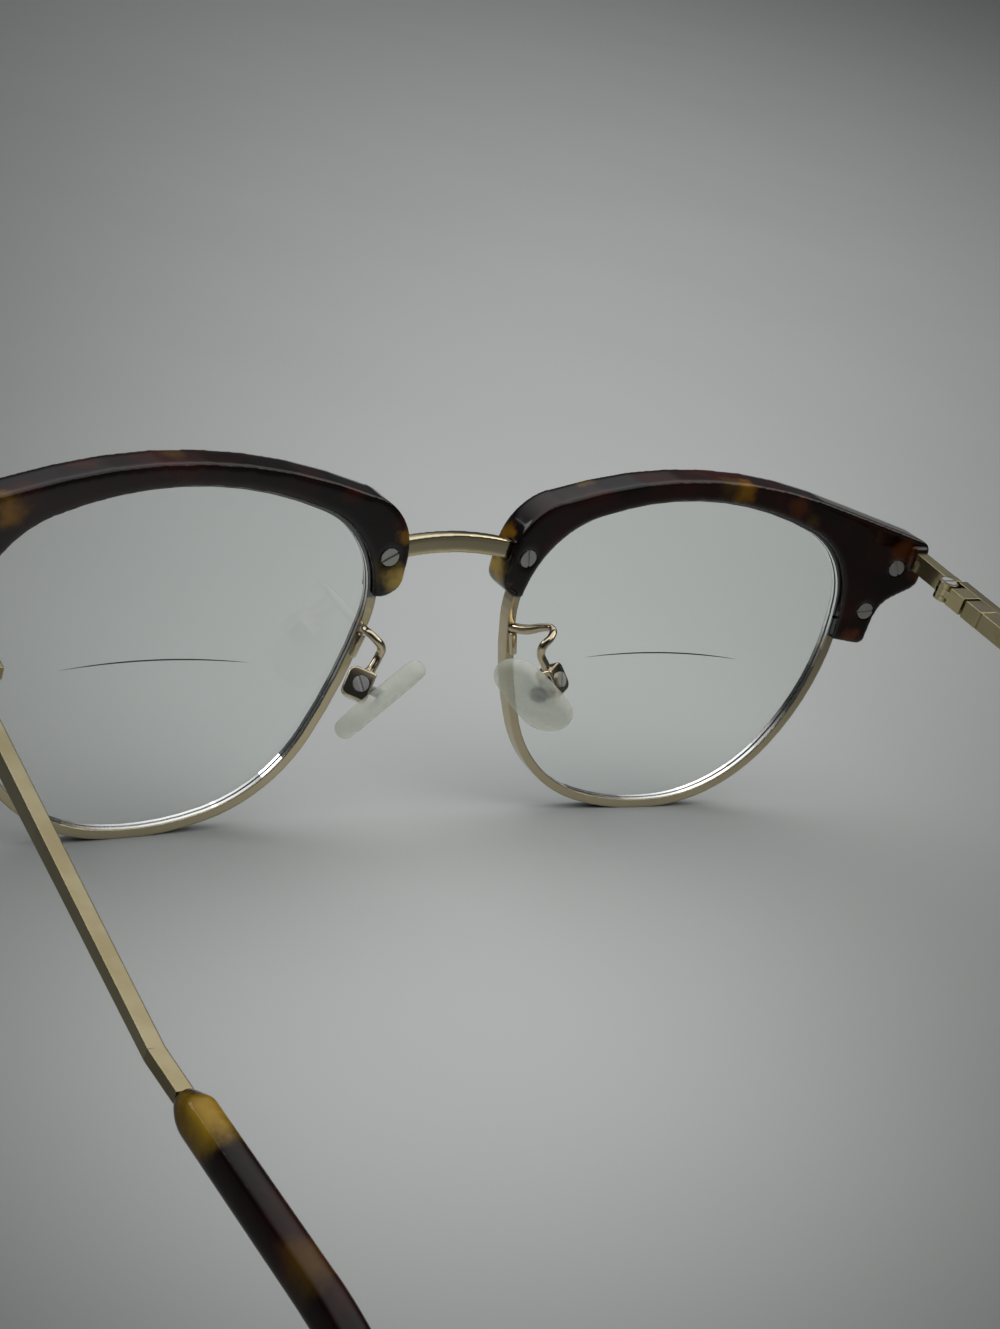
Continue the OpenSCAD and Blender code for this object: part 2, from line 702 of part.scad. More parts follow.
module rod(p, q, d) {
    v = q - p;
    translate(p) rotate([0, acos(v[2] / norm(v)), atan2(v[1], v[0])]) cylinder(d = d, h = norm(v));
    translate(q) sphere(d = d + 0.04);
}

module pad_arm() {
    x = arm_root[0] - 0.05;
    z = arm_root[2] - 0.5;
    box_top = box_middle - (box_size[0] / 2 - 0.2) * box_way;
    bends = [arm_root, arm_rise, arm_out, arm_top, arm_far, arm_in, arm_down, arm_end, box_top];
    difference() {
        union() {
            translate(arm_root) sphere(d = arm_wire);
            for (i = [0 : len(bends) - 2]) rod(bends[i], bends[i + 1], arm_wire);
            at_box() cube(box_size, center = true);
            translate([x, face_y(x, z - foot_size[2] / 2) - 0.2, z]) rotate([0, -15, 0])
                translate([-foot_size[0] / 2, 0, -foot_size[2]]) cube(foot_size + [0, 0.2, 0]);
        }
        at_box() {
            translate([0, 0, 0.5]) cube([box_inside[0], box_inside[1], box_size[2] + 0.5], center = true);
            rotate([90, 0, 0]) cylinder(d = pad_screw_d, h = 6, center = true);
            translate([0, -box_size[1] / 2, 0]) rotate([90, 0, 0])
                cylinder(d = pad_head_d + 0.04, h = 0.1, center = true);
        }
        between(-rim_deep - 0.5, 0.02) lens_outline(rim_wide + 0.02);
    }
}

module slider() {
    block_rear = case_front - block_gap;
    at_hinge() difference() {
        union() {
            translate([0, 0, -middle_tall / 2]) cylinder(r = knuckle_r, h = middle_tall);
            translate([-case_in, 0, -middle_tall / 2]) cube([case_in + 0.9, block_front + 0.3, middle_tall]);
            translate([-case_in, block_front, -case_tall / 2])
                cube([case_in + temple_out - 0.05, block_rear - block_front, case_tall]);
            translate([case_middle, block_rear - 0.3, 0]) rotate([-90, 0, 0]) {
                cylinder(d = rod_d, h = block_gap + 0.3 + rod_long);
                translate([0, 0, block_gap + 0.3 + rod_long - rod_head_long])
                    cylinder(d = rod_head_d, h = rod_head_long);
            }
        }
        translate([0, 0, -4]) cylinder(d = hinge_screw_d + 2 * hinge_fit, h = 8);
        for (w = [-4, middle_tall / 2 + knuckle_gap])
            translate([0, 0, w]) cylinder(r = knuckle_r + 0.08, h = 4 - middle_tall / 2 - knuckle_gap);
    }
}

module hinge_screw() {
    at_hinge() difference() {
        union() {
            translate([0, 0, -knuckle_tall / 2]) cylinder(d = hinge_screw_d, h = knuckle_tall - 0.1);
            translate([0, 0, knuckle_tall / 2 - 0.45]) cylinder(d = hinge_head_d, h = 0.55);
        }
        translate([-2, -slot_wide / 2, knuckle_tall / 2 + 0.1 - slot_deep]) cube([4, slot_wide, 1]);
    }
}

module spring() {
    start = case_front + collar_long + 0.05 + spring_wire / 2;
    stop = case_front + rod_long - rod_head_long - 0.05 - spring_wire / 2;
    pitch = (stop - start) / (spring_turns - 1);
    at_hinge() for (i = [0 : spring_turns - 1])
        translate([case_middle, start + i * pitch, 0]) rotate([-90, 0, 0])
            rotate_extrude() translate([(spring_bore_d + rod_d) / 4, 0]) circle(d = spring_wire, $fn = 16);
}

module spring_case() {
    half = case_tall / 2;
    rear = case_front + case_long;
    at_hinge() difference() {
        translate([-case_in, 0, 0]) rotate([90, 0, 90]) linear_extrude(case_in + temple_out)
            polygon([
                [case_front, -half],
                [rear - case_taper, -half],
                [rear, case_rise - half],
                [rear, half],
                [case_front, half]
            ]);
        translate([case_middle, case_front - 1, 0]) rotate([-90, 0, 0]) {
            cylinder(d = rod_d + 2 * rod_fit, h = 3);
            translate([0, 0, 1 + collar_long]) cylinder(d = spring_bore_d, h = rod_long + 0.8 - collar_long);
        }
        translate([0, case_front + case_cap, 0]) difference() {
            translate([-case_in - 1, 0, -3]) cube([case_in + 1 + temple_out, 0.2, 6]);
            translate([groove_deep - case_in, -1, groove_deep - half])
                cube([case_in + 4, 2, case_tall - 2 * groove_deep]);
        }
    }
}

// Moves what lies behind the turn in the temple round to its place.
module turned() {
    translate([bar_middle, turn_at, 0]) rotate([0, 0, turn_in]) translate([-bar_middle, -turn_at, 0]) children();
}

// Stretch of the temple bar through places that each give how far back they are and the bar's height there.
module bar_side(places) {
    count = len(places);
    translate([temple_out, 0, 0]) rotate([90, 0, 90]) linear_extrude(temple_thick)
        polygon([
            for (i = [0 : 2 * count - 1])
                let (p = places[i < count ? i : 2 * count - 1 - i])
                [p[0], (i < count ? -1 : 1) * p[1] / 2]
        ]);
}

module temple() {
    run = case_front + case_long + 1;
    turn_tall = temple_mid_tall
        + (temple_end_tall - temple_mid_tall) * (turn_at - temple_mid_at) / (tip_front - temple_mid_at);
    at_hinge() {
        bar_side([[0.02, temple_tall], [run, temple_tall], [temple_mid_at, temple_mid_tall], [turn_at, turn_tall]]);
        translate([bar_middle, turn_at, join - turn_tall / 2])
            cylinder(d = temple_thick - 2 * join, h = turn_tall - 2 * join);
        turned() {
            bar_side([[turn_at, turn_tall], [tip_front, temple_end_tall]]);
            core(0);
        }
    }
}

// Wire inside the tip, and the hollow it lies in.
module core(grow) {
    t = core_thick + 2 * grow;
    h = core_tall + 2 * grow;
    translate([bar_middle - t / 2 + join, tip_front - 0.5, -h / 2 + join])
        cube([t - 2 * join, bend_at - tip_front + 0.9, h - 2 * join]);
    ear_path(bar_middle, bend_angle) square([t, h], center = true);
    translate([bar_middle, bend_at, 0]) at_ear() translate([-t / 2 + join, -0.4, -h / 2 + join])
        cube([t - 2 * join, ear_long - core_short + grow + 0.4, h - 2 * join]);
}

module ear_path(u, angle) {
    translate([u, bend_at, -bend_radius]) rotate([0, 90, 0]) rotate([0, 0, 180 - angle])
        rotate_extrude(angle = angle, $fn = fine) translate([bend_radius, 0]) rotate([0, 0, 90]) children();
}

module at_ear() {
    translate([0, bend_radius * sin(bend_angle), -bend_drop]) rotate([-bend_angle, 0, 0]) children();
}

// Section of the tip with rounded long edges, drawn in by d.
module tip_section(d = 0) {
    r = tip_round;
    polygon([
        for (q = [0 : 3], k = [0 : 4])
            let (
                a = q * 90 + k * 22.5,
                sx = q == 0 || q == 3 ? 1 : -1,
                sy = q < 2 ? 1 : -1
            )
            [sx * (tip_thick / 2 - r) + (r - d) * cos(a), sy * (tip_tall / 2 - r) + (r - d) * sin(a)]
    ]);
}

module temple_tip() {
    u = bar_middle;
    at_hinge() turned() difference() {
        union() {
            intersection() {
                translate([u, bend_at + 0.4, 0]) rotate([90, 0, 0])
                    linear_extrude(bend_at - tip_front + 0.4) tip_section(join);
                translate([u, tip_front, 0]) rotate([-90, 0, 0]) union() {
                    cylinder(r1 = temple_end_tall / 2 + 0.3, r2 = 3, h = tip_taper);
                    translate([0, 0, tip_taper - 0.01]) cylinder(r = 3, h = bend_at - tip_front);
                }
            }
            ear_path(u, bend_angle) tip_section();
            translate([u, bend_at, 0]) at_ear() {
                translate([0, ear_long, 0]) rotate([90, 0, 0]) linear_extrude(ear_long + 0.4) tip_section(join);
                translate([-tip_side, ear_long, 0]) rotate([0, 90, 0]) cylinder(r = tip_end_r, h = 2 * tip_side);
            }
        }
        core(core_gap);
    }
}

module left() { set_down() children(); }
module right() { mirror([1, 0, 0]) set_down() children(); }

module bridge() { color("#cdbb92") left() bridge_piece(); }
module brow_left() { color("#2a1410") left() brow(); }
module brow_right() { color("#2a1410") right() brow(); }
module rim_left() { color("#cdbb92") left() rim(); }
module rim_right() { color("#cdbb92") right() rim(); }
module lens_left() { color("#dfe8e8") left() lens(); }
module lens_right() { color("#dfe8e8") right() lens(); }
module closing_screw_left() { color("#b8b8b8") left() close_screw(); }
module closing_screw_right() { color("#b8b8b8") right() close_screw(); }
module brow_screws() {
    color("#b8b8b8") {
        left() {
            brow_screw(nose_screw_at, 35);
            brow_screw(end_screw_high, 100);
            brow_screw(end_screw_low, 20);
        }
        right() {
            brow_screw(nose_screw_at, 75);
            brow_screw(end_screw_high, 60);
            brow_screw(end_screw_low, -10);
        }
    }
}
module end_piece_left() { color("#cdbb92") left() end_piece(); }
module end_piece_right() { color("#cdbb92") right() end_piece(); }
module pad_arm_left() { color("#cdbb92") left() pad_arm(); }
module pad_arm_right() { color("#cdbb92") right() pad_arm(); }
module pad_screw_left() { color("#b8b8b8") left() pad_screw(); }
module pad_screw_right() { color("#b8b8b8") right() pad_screw(); }
module nose_pad_left() { color("#e8ece8") left() nose_pad(); }
module nose_pad_right() { color("#e8ece8") right() nose_pad(); }
module pad_insert_left() { color("#9a9ca0") left() pad_insert(); }
module pad_insert_right() { color("#9a9ca0") right() pad_insert(); }
module hinge_screw_left() { color("#b8b8b8") left() hinge_screw(); }
module hinge_screw_right() { color("#b8b8b8") right() hinge_screw(); }
module slider_left() { color("#cdbb92") left() slider(); }
module slider_right() { color("#cdbb92") right() slider(); }
module spring_left() { color("#909498") left() spring(); }
module spring_right() { color("#909498") right() spring(); }
module spring_case_left() { color("#cdbb92") left() spring_case(); }
module spring_case_right() { color("#cdbb92") right() spring_case(); }
module temple_left() { color("#cdbb92") left() temple(); }
module temple_right() { color("#cdbb92") right() temple(); }
module temple_tip_left() { color("#2a1410") left() temple_tip(); }
module temple_tip_right() { color("#2a1410") right() temple_tip(); }

bridge();
brow_left();
brow_right();
rim_left();
rim_right();
lens_left();
lens_right();
closing_screw_left();
closing_screw_right();
brow_screws();
end_piece_left();
end_piece_right();
pad_arm_left();
pad_arm_right();
pad_screw_left();
pad_screw_right();
nose_pad_left();
nose_pad_right();
pad_insert_left();
pad_insert_right();
hinge_screw_left();
hinge_screw_right();
slider_left();
slider_right();
spring_left();
spring_right();
spring_case_left();
spring_case_right();
temple_left();
temple_right();
temple_tip_left();
temple_tip_right();
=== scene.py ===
# %% [markdown]
# # Browline glasses
#
# A pair of browline glasses stands open on a pale surface, seen from behind and above the wearer's
# left side. The rims, temples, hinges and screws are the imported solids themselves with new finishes.
# The acetate and the bridge are rounded copies of their solids. The lenses, the nose pads, the wire arms
# of the pads and the line of each reading segment are built here over their solids, because the real
# ones are cast, moulded or bent.

import json
import math
from functools import partial

import bmesh
import bpy
import numpy as np
from mathutils import Matrix, Vector

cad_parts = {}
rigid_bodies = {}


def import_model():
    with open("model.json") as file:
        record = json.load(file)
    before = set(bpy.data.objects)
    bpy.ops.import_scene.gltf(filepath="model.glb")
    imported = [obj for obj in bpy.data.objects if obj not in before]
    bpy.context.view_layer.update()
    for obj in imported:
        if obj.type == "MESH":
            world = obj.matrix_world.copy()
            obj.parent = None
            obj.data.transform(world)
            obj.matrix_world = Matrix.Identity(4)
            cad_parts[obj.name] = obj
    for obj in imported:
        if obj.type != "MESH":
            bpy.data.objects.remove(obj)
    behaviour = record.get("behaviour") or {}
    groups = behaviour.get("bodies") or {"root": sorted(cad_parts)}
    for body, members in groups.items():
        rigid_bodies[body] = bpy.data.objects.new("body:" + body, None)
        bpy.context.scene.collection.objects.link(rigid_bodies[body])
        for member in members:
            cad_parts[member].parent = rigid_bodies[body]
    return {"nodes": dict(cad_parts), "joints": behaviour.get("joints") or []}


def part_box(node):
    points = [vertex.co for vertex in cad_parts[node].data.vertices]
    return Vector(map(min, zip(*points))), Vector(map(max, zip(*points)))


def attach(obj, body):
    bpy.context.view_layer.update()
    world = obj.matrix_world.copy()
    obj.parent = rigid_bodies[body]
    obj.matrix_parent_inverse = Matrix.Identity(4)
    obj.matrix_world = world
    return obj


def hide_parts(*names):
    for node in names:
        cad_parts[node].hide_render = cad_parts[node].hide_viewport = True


for spare in list(bpy.data.objects):
    bpy.data.objects.remove(spare)
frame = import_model()
nodes = frame["nodes"]
scene = bpy.context.scene
bpy.context.view_layer.update()
mm = 0.001
sides = ("left", "right")
outward = {"left": 1, "right": -1}

# %% [markdown]
# ## Colours and node graphs
#
# Colours are written as they look on a screen and turned to linear light once, in `colour`. A finish is
# a graph of small steps, so one function adds any step with its settings and its links. The settings
# that come back most have a name: a change that eases in and out, a blend of colours, a distance, and
# the part of a noise's range that holds most of its values.

# %% Colours and steps
smoothly = {"interpolation_type": "SMOOTHSTEP"}
as_colour = {"data_type": "RGBA", "give": 2}
as_distance = {"operation": "DISTANCE", "give": 1}
most_of_noise = {1: 0.3, 2: 0.7}


def colour(code):
    """Linear light of a colour that is written as it looks on a screen."""
    shares = [int(code[i : i + 2], 16) / 255 for i in (1, 3, 5)]
    return tuple(c / 12.92 if c <= 0.04045 else ((c + 0.055) / 1.055) ** 2.4 for c in shares) + (1,)


def step(tree, kind, inputs=None, give=0, **settings):
    """Adds one step to a graph and gives one of its outputs, or the step itself if it has none.

    An input is a plain value, or the output that feeds it. Its key is its name or its number."""
    made = tree.nodes.new("ShaderNode" + kind)
    for key, value in settings.items():
        setattr(made, key, value)
    for key, value in (inputs or {}).items():
        if isinstance(value, bpy.types.NodeSocket):
            tree.links.new(value, made.inputs[key])
        else:
            made.inputs[key].default_value = value
    return made.outputs[give] if len(made.outputs) else made


def finish_for(name):
    """A new empty finish, and the function that adds steps to its graph."""
    made = bpy.data.materials.new(name)
    made.use_nodes = True
    made.node_tree.nodes.clear()
    return made, partial(step, made.node_tree)


print("black is", colour("#000000"), "and white is", colour("#ffffff"))

# %% [markdown]
# ## Real sizes and polished edges
#
# Patterns are laid out in millimetres on the piece, so each keeps its real size. Every cut edge of real
# glasses is broken by the polish. The bevel step bends the light over an edge as that does, and leaves
# the shape alone. Fine marks are laid on the same soft edge.

# %% Millimetres on a piece, and its edges
relief_depth = 0.01


def millimetres(add):
    """Places on the piece in real millimetres."""
    place = add("TexCoord", give="Object")
    return add("VectorMath", {0: place, "Scale": 1 / mm}, operation="SCALE")


def rounded(add, radius, marks=None, strength=0.0):
    """Direction of the surface with its edges rounded to that radius, and with fine marks if given."""
    edge = add("Bevel", {"Radius": radius * mm}, samples=6)
    if marks is None:
        return edge
    depth = relief_depth * mm
    return add("Bump", {"Height": marks, "Strength": strength, "Distance": depth, "Normal": edge})


print("fine marks are", relief_depth, "mm deep")

# %% [markdown]
# ## The camera
#
# The camera was worked out from the two lenses of the photograph, taken as mirror images of each other.
# It is set before the finishes, because the patches in the acetate are placed by looking through it.

# %% Camera at the photograph's place
photo_size = (1000, 1329)
camera_place = Vector((147.959, 143.489, 130.817)) * mm
camera_yaw = math.radians(36.197)
camera_dip = math.radians(22.216)
camera_roll = math.radians(14.451)
focal_pixels = 2300.25

look = Vector(
    (
        -math.sin(camera_yaw) * math.cos(camera_dip),
        -math.cos(camera_yaw) * math.cos(camera_dip),
        -math.sin(camera_dip),
    )
)
level_right = Vector((-math.cos(camera_yaw), math.sin(camera_yaw), 0))
level_up = level_right.cross(look)
right = level_right * math.cos(camera_roll) + level_up * math.sin(camera_roll)
up = level_up * math.cos(camera_roll) - level_right * math.sin(camera_roll)


def shown(name, data):
    """Object that shows a mesh, a curve, a lamp or a camera in the scene."""
    made = bpy.data.objects.new(name, data)
    scene.collection.objects.link(made)
    return made


camera_data = bpy.data.cameras.new("camera")
camera_data.sensor_fit = "AUTO"
camera_data.sensor_width = 36
camera_data.lens = camera_data.sensor_width * focal_pixels / max(photo_size)
camera_data.clip_start = 0.01
camera_data.clip_end = 20
camera = shown("camera", camera_data)
camera.matrix_world = Matrix(
    [[right[i], up[i], -look[i], camera_place[i]] for i in range(3)] + [[0, 0, 0, 1]]
)
scene.camera = camera
print("camera with a", round(camera_data.lens, 1), "mm lens")

# %% [markdown]
# ## Tortoiseshell acetate
#
# The brows and temple tips are cut from sheets of cellulose acetate and tumbled to a deep gloss. The
# sheet is nearly black brown with soft clouds of red brown, and here and there a patch of clear amber.
# An even pattern would look printed, so the clouds come from a noise whose places are stirred by another.
# The patches that the photograph shows are set where it shows them, and the stirring frays their edges.

# %% Tints of the sheet and the patches seen in the photograph
amber = colour("#8a5e08")
honey = colour("#c2a352")
straw = colour("#94741c")
olive = colour("#54400f")
russet = colour("#38120a")
orange = colour("#62300a")

# Each patch has its pixel in the photograph, its radius in mm, its strength and its tint.
seen_patches = {
    "brow_left": {
        "amber at the outer end": ((10, 512), 2.3, 1.0, amber),
        "red beside that amber": ((28, 498), 2.6, 0.5, russet),
        "red on the outer rise": ((83, 463), 2.0, 0.7, russet),
        "olive on the crest": ((172, 453), 1.9, 0.5, olive),
        "red under the crest": ((192, 472), 2.3, 0.6, russet),
        "red on the inner slope": ((354, 496), 1.6, 0.9, russet),
        "red by the nose": ((402, 520), 1.5, 0.7, russet),
        "amber by the nose": ((406, 535), 1.3, 0.9, amber),
        "olive over the foot": ((375, 574), 2.2, 0.7, olive),
        "honey on the foot": ((398, 580), 2.3, 1.0, honey),
    },
    "brow_right": {
        "olive on the inner slope": ((583, 482), 1.5, 0.8, olive),
        "red on the inner slope": ((600, 496), 2.2, 0.5, russet),
        "red on the crest": ((652, 478), 2.4, 0.5, russet),
        "amber past the crest": ((746, 492), 2.1, 1.0, amber),
        "olive beside that amber": ((733, 486), 2.2, 0.6, olive),
        "orange on the outer slope": ((800, 507), 2.1, 0.7, orange),
        "olive on the outer slope": ((812, 522), 1.4, 0.7, olive),
        "orange at the outer end": ((903, 553), 2.4, 0.75, orange),
        "orange under the end bar": ((914, 572), 1.6, 0.6, orange),
        "orange on the outer foot": ((849, 637), 1.6, 0.9, orange),
        "red by the nose": ((556, 540), 1.9, 0.6, russet),
        "amber by the nose": ((508, 533), 1.4, 0.9, amber),
        "honey on the inner foot": ((496, 566), 2.4, 1.0, honey),
    },
    "temple_tip_left": {
        "straw on the bend": ((200, 1118), 3.6, 1.0, straw),
        "olive farther down": ((300, 1268), 2.6, 0.6, olive),
    },
}
print({name: len(marks) for name, marks in seen_patches.items()}, "patches seen")

# %% [markdown]
# A patch that is known by its pixel gets its real place from a line of sight: the line leaves the camera
# through that pixel, and the patch lies where it meets the solid.

# %% Look from the camera onto the solids


def sight(pixel):
    """Direction from the camera through a place in the photograph."""
    across = (pixel[0] - photo_size[0] / 2) / focal_pixels
    down = (pixel[1] - photo_size[1] / 2) / focal_pixels
    return (look + right * across - up * down).normalized()


def touched(pixel, name):
    """Place on a solid that the photograph shows at that pixel, or nothing if the sight misses it."""
    graph = bpy.context.evaluated_depsgraph_get()
    hit, place, _, _ = nodes[name].ray_cast(camera_place, sight(pixel), depsgraph=graph)
    return place if hit else None


patches = {name: [] for name in seen_patches}
for name, marks in seen_patches.items():
    for pixel, radius, strength, tint in marks.values():
        place = touched(pixel, name)
        if place is not None:
            patches[name].append((place / mm, radius, strength, tint))
print({name: len(found) for name, found in patches.items()}, "patches placed")

# %% [markdown]
# The sheet is built up from its darkest brown to its clearest amber, under one even gloss. Its surface
# has a slight ripple from the tumbling, and a haze that changes its gloss a little from place to place.

# %% Acetate, near-black brown with clouds
deep_brown, red_brown = colour("#120706"), colour("#240c08")
cloud_size, cloud_rough = 13, 0.45
red_from, red_to = 0.46, 0.62
russet_from, russet_to, russet_most = 0.63, 0.72, 0.8
swirl_size, swirl_rough, swirl_push = 5, 0.5, (9, 9, 5)
fray_size, fray_rough, fray_push = 1.9, 0.55, (3.4, 3.4, 2.2)
patch_core, patch_rim = 0.25, 1.2
haze_size, haze_low, haze_high = 2.5, 0.35, 0.7
gloss_best, gloss_worst = 0.05, 0.11
ripple_size, ripple_depth, ripple_strength = 6, 0.05, 0.08
acetate_ior = 1.48
brow_shine, tip_shine = 0.42, 0.25


def stirred(add, source, size, rough, push, place):
    """Places pushed to and fro by a noise with lumps of that size, over a range of push millimetres."""
    pattern = {"Vector": source, "Scale": 1 / size, "Detail": 3, "Roughness": rough}
    lumps = add("TexNoise", pattern, give=1)
    centred = add("VectorMath", {0: lumps, 1: (0.5, 0.5, 0.5)}, operation="SUBTRACT")
    return add("VectorMath", {0: centred, 1: push, 2: place}, operation="MULTIPLY_ADD")


def acetate(name, marks, shift, shine):
    """Polished tortoiseshell: a dark body, red-brown clouds and amber patches under one clear gloss.

    The shift, in mm, moves the clouds along the sheet, so that no two pieces come from the same place."""
    made, add = finish_for(name)
    place = millimetres(add)
    moved = add("VectorMath", {0: place, 1: (shift, 0.7 * shift, 0)}, operation="ADD")
    swirl = stirred(add, moved, swirl_size, swirl_rough, swirl_push, moved)
    pattern = {"Vector": swirl, "Scale": 1 / cloud_size, "Detail": 3, "Roughness": cloud_rough}
    cloud = add("TexNoise", pattern)
    reddening = add("MapRange", {0: cloud, 1: red_from, 2: red_to}, **smoothly)
    body = add("Mix", {0: reddening, 6: deep_brown, 7: red_brown}, **as_colour)
    clearing = add("MapRange", {0: cloud, 1: russet_from, 2: russet_to, 4: russet_most}, **smoothly)
    body = add("Mix", {0: clearing, 6: body, 7: russet}, **as_colour)
    frayed = stirred(add, moved, fray_size, fray_rough, fray_push, place)
    for centre, radius, strength, tint in marks:
        away = add("VectorMath", {0: frayed, 1: tuple(centre)}, **as_distance)
        fade = {0: away, 1: patch_core * radius, 2: patch_rim * radius, 3: strength, 4: 0}
        share = add("MapRange", fade, **smoothly)
        body = add("Mix", {0: share, 6: body, 7: tint}, **as_colour)
    haze = add("TexNoise", {"Vector": place, "Scale": 1 / haze_size, "Detail": 4})
    ripple = add("TexNoise", {"Vector": place, "Scale": 1 / ripple_size, "Detail": 1})
    wave = {"Height": ripple, "Strength": ripple_strength, "Distance": ripple_depth * mm}
    dulling = {0: haze, 1: haze_low, 2: haze_high, 3: gloss_best, 4: gloss_worst}
    gloss = {
        "Base Color": body,
        "Roughness": add("MapRange", dulling),
        "IOR": acetate_ior,
        "Specular IOR Level": shine,
        "Normal": add("Bump", wave),
    }
    add("OutputMaterial", {"Surface": add("BsdfPrincipled", gloss)})
    return made


brow_finish = {}
tip_finish = {}
for side, brow_shift, tip_shift in (("left", 0, 58), ("right", 31, 83)):
    sheet = "tortoiseshell acetate, " + side
    brow_marks = patches.get("brow_" + side, [])
    tip_marks = patches.get("temple_tip_" + side, [])
    brow_finish[side] = acetate(sheet + " brow", brow_marks, brow_shift, brow_shine)
    tip_finish[side] = acetate(sheet + " tip", tip_marks, tip_shift, tip_shine)
print("acetate for", len(brow_finish) + len(tip_finish), "pieces")

# %% [markdown]
# ## Pale gold plating
#
# The rims, bridge, hinges and temples are nickel silver with a thin pale gold plating over a polish.
# Polished metal has almost no colour of its own away from what it reflects, so the finish stays plain: a
# pale gold reflection, a roughness that drifts a little where fingers have been, and fine polishing
# marks. Real marks are finer than 0.15 mm and are drawn that coarse so that they show. Under the brows
# the rims are painted grey, a painted shade for the dark grey band that they show there.

# %% Pale gold, polished
worn_gold = colour("#e9dcc0")
# Grey of the painted shade on the rims under the brows.
under_brow_shade_grey = colour("#77797a")
finger_size, finger_drift = 4, 0.07
worn_from, worn_to, worn_most = 0.3, 0.75, 0.18
polish_size, polish_strength = 0.15, 0.05
# Height where the painted shade under the brows begins, how it falls outward, and how softly it blends
# in.
brow_foot_height = 31.3
brow_fall = 0.09
under_brow_shade_blend = 0.4


def shaded_under_brows(add, place, tint):
    """Plating that gives way to a painted grey shade above the feet of the brows.

    The feet sit lower the farther out they are, so that height falls away from the middle."""
    across = add("Math", {0: add("SeparateXYZ", {0: place}, give="X")}, operation="ABSOLUTE")
    height = add("SeparateXYZ", {0: place}, give="Z")
    level = add("Math", {0: across, 1: brow_fall, 2: height}, operation="MULTIPLY_ADD")
    reach = {0: level, 1: brow_foot_height, 2: brow_foot_height + under_brow_shade_blend}
    under = add("MapRange", reach, **smoothly)
    # Painted shade: the plating turns grey under the brows.
    return add("Mix", {0: under, 6: tint, 7: under_brow_shade_grey}, **as_colour)


def gold(name, code, rough, edge, under_brow=False):
    """Polished plating of one tint, with its edges rounded to that radius in mm, and with a painted grey
    shade under the brows when under_brow is set.
    """
    made, add = finish_for(name)
    place = millimetres(add)
    smear = add("TexNoise", {"Vector": place, "Scale": 1 / finger_size, "Detail": 3})
    marks = add("TexNoise", {"Vector": place, "Scale": 1 / polish_size})
    worn = add("MapRange", {0: smear, 1: worn_from, 2: worn_to, 4: worn_most}, **smoothly)
    tint = add("Mix", {0: worn, 6: colour(code), 7: worn_gold}, **as_colour)
    metal = {
        "Base Color": shaded_under_brows(add, place, tint) if under_brow else tint,
        "Metallic": 1.0,
        "Roughness": add("MapRange", {0: smear, **most_of_noise, 3: rough, 4: rough + finger_drift}),
        "Normal": rounded(add, edge, marks, polish_strength),
    }
    add("OutputMaterial", {"Surface": add("BsdfPrincipled", metal)})
    return made


# The rims carry the painted grey shade under the brows.
wire_gold = gold("pale gold plating, rims", "#c6b899", 0.10, 0.30, under_brow=True)
bridge_gold = gold("pale gold plating, bridge", "#d9cba4", 0.05, 0.05)
# The temples and spring cases take a darker tint than the other plated parts. The darkening is painted
# shade for the dark surroundings that they reflect.
shaded_bar_gold = gold("pale gold plating, temples", "#a19470", 0.13, 0.18)
arm_gold = gold("pale gold plating, pad arms", "#d0c0a4", 0.07, 0.10)
hinge_gold = gold("pale gold plating, hinges", "#c0b188", 0.12, 0.12)
print("five plated finishes")

# %% [markdown]
# ## Screws and springs
#
# The screws are turned steel. Their heads are bright with faint rings from the lathe, and the slot is
# darker because little light reaches into it. Real rings are too fine to show, so they are drawn about
# 0.16 mm apart, which is what the wave step gives at a scale of 2 in millimetres.

# %% Turned steel
bright_steel = colour("#c4c4bf")
lathe_scale, lathe_wobble, lathe_strength = 2.0, 1.5, 0.03
screw_edge = 0.06
steel_smear, steel_drift, brightening = 0.8, 0.12, 0.5


def turned_steel(name, code, rough):
    """Bright steel with the fine marks of a lathe."""
    made, add = finish_for(name)
    place = millimetres(add)
    wave = {"Vector": place, "Scale": lathe_scale, "Distortion": lathe_wobble, "Detail": 2.0}
    rings = add("TexWave", wave, give=1, wave_type="RINGS")
    smear = add("TexNoise", {"Vector": place, "Scale": 1 / steel_smear, "Detail": 3})
    worn = add("MapRange", {0: smear, **most_of_noise, 4: brightening}, **smoothly)
    metal = {
        "Base Color": add("Mix", {0: worn, 6: colour(code), 7: bright_steel}, **as_colour),
        "Metallic": 1.0,
        "Roughness": add("MapRange", {0: smear, **most_of_noise, 3: rough, 4: rough + steel_drift}),
        "Normal": rounded(add, screw_edge, rings, lathe_strength),
    }
    add("OutputMaterial", {"Surface": add("BsdfPrincipled", metal)})
    return made


screw_steel = turned_steel("turned steel, screws", "#c2c2bd", 0.4)
pad_screw_steel = turned_steel("turned steel, pad screws", "#c9c9c5", 0.38)
spring_steel = turned_steel("drawn steel, springs", "#8f9294", 0.3)
print("three steel finishes")

# %% [markdown]
# ## Lenses
#
# The lenses are clear cast resin. They bend light as the real resin does, which draws the grey band along
# their edges inside the rims. Light that only passes through on its way to the surface below is let
# through nearly whole, so that the lenses cast the faint shadow that a thin clear lens casts.

# %% Clear resin
smear_size, smear_low, smear_high, smear_most = 7, 0.45, 0.8, 0.015
resin_ior = 1.498
resin_shine = 0.08


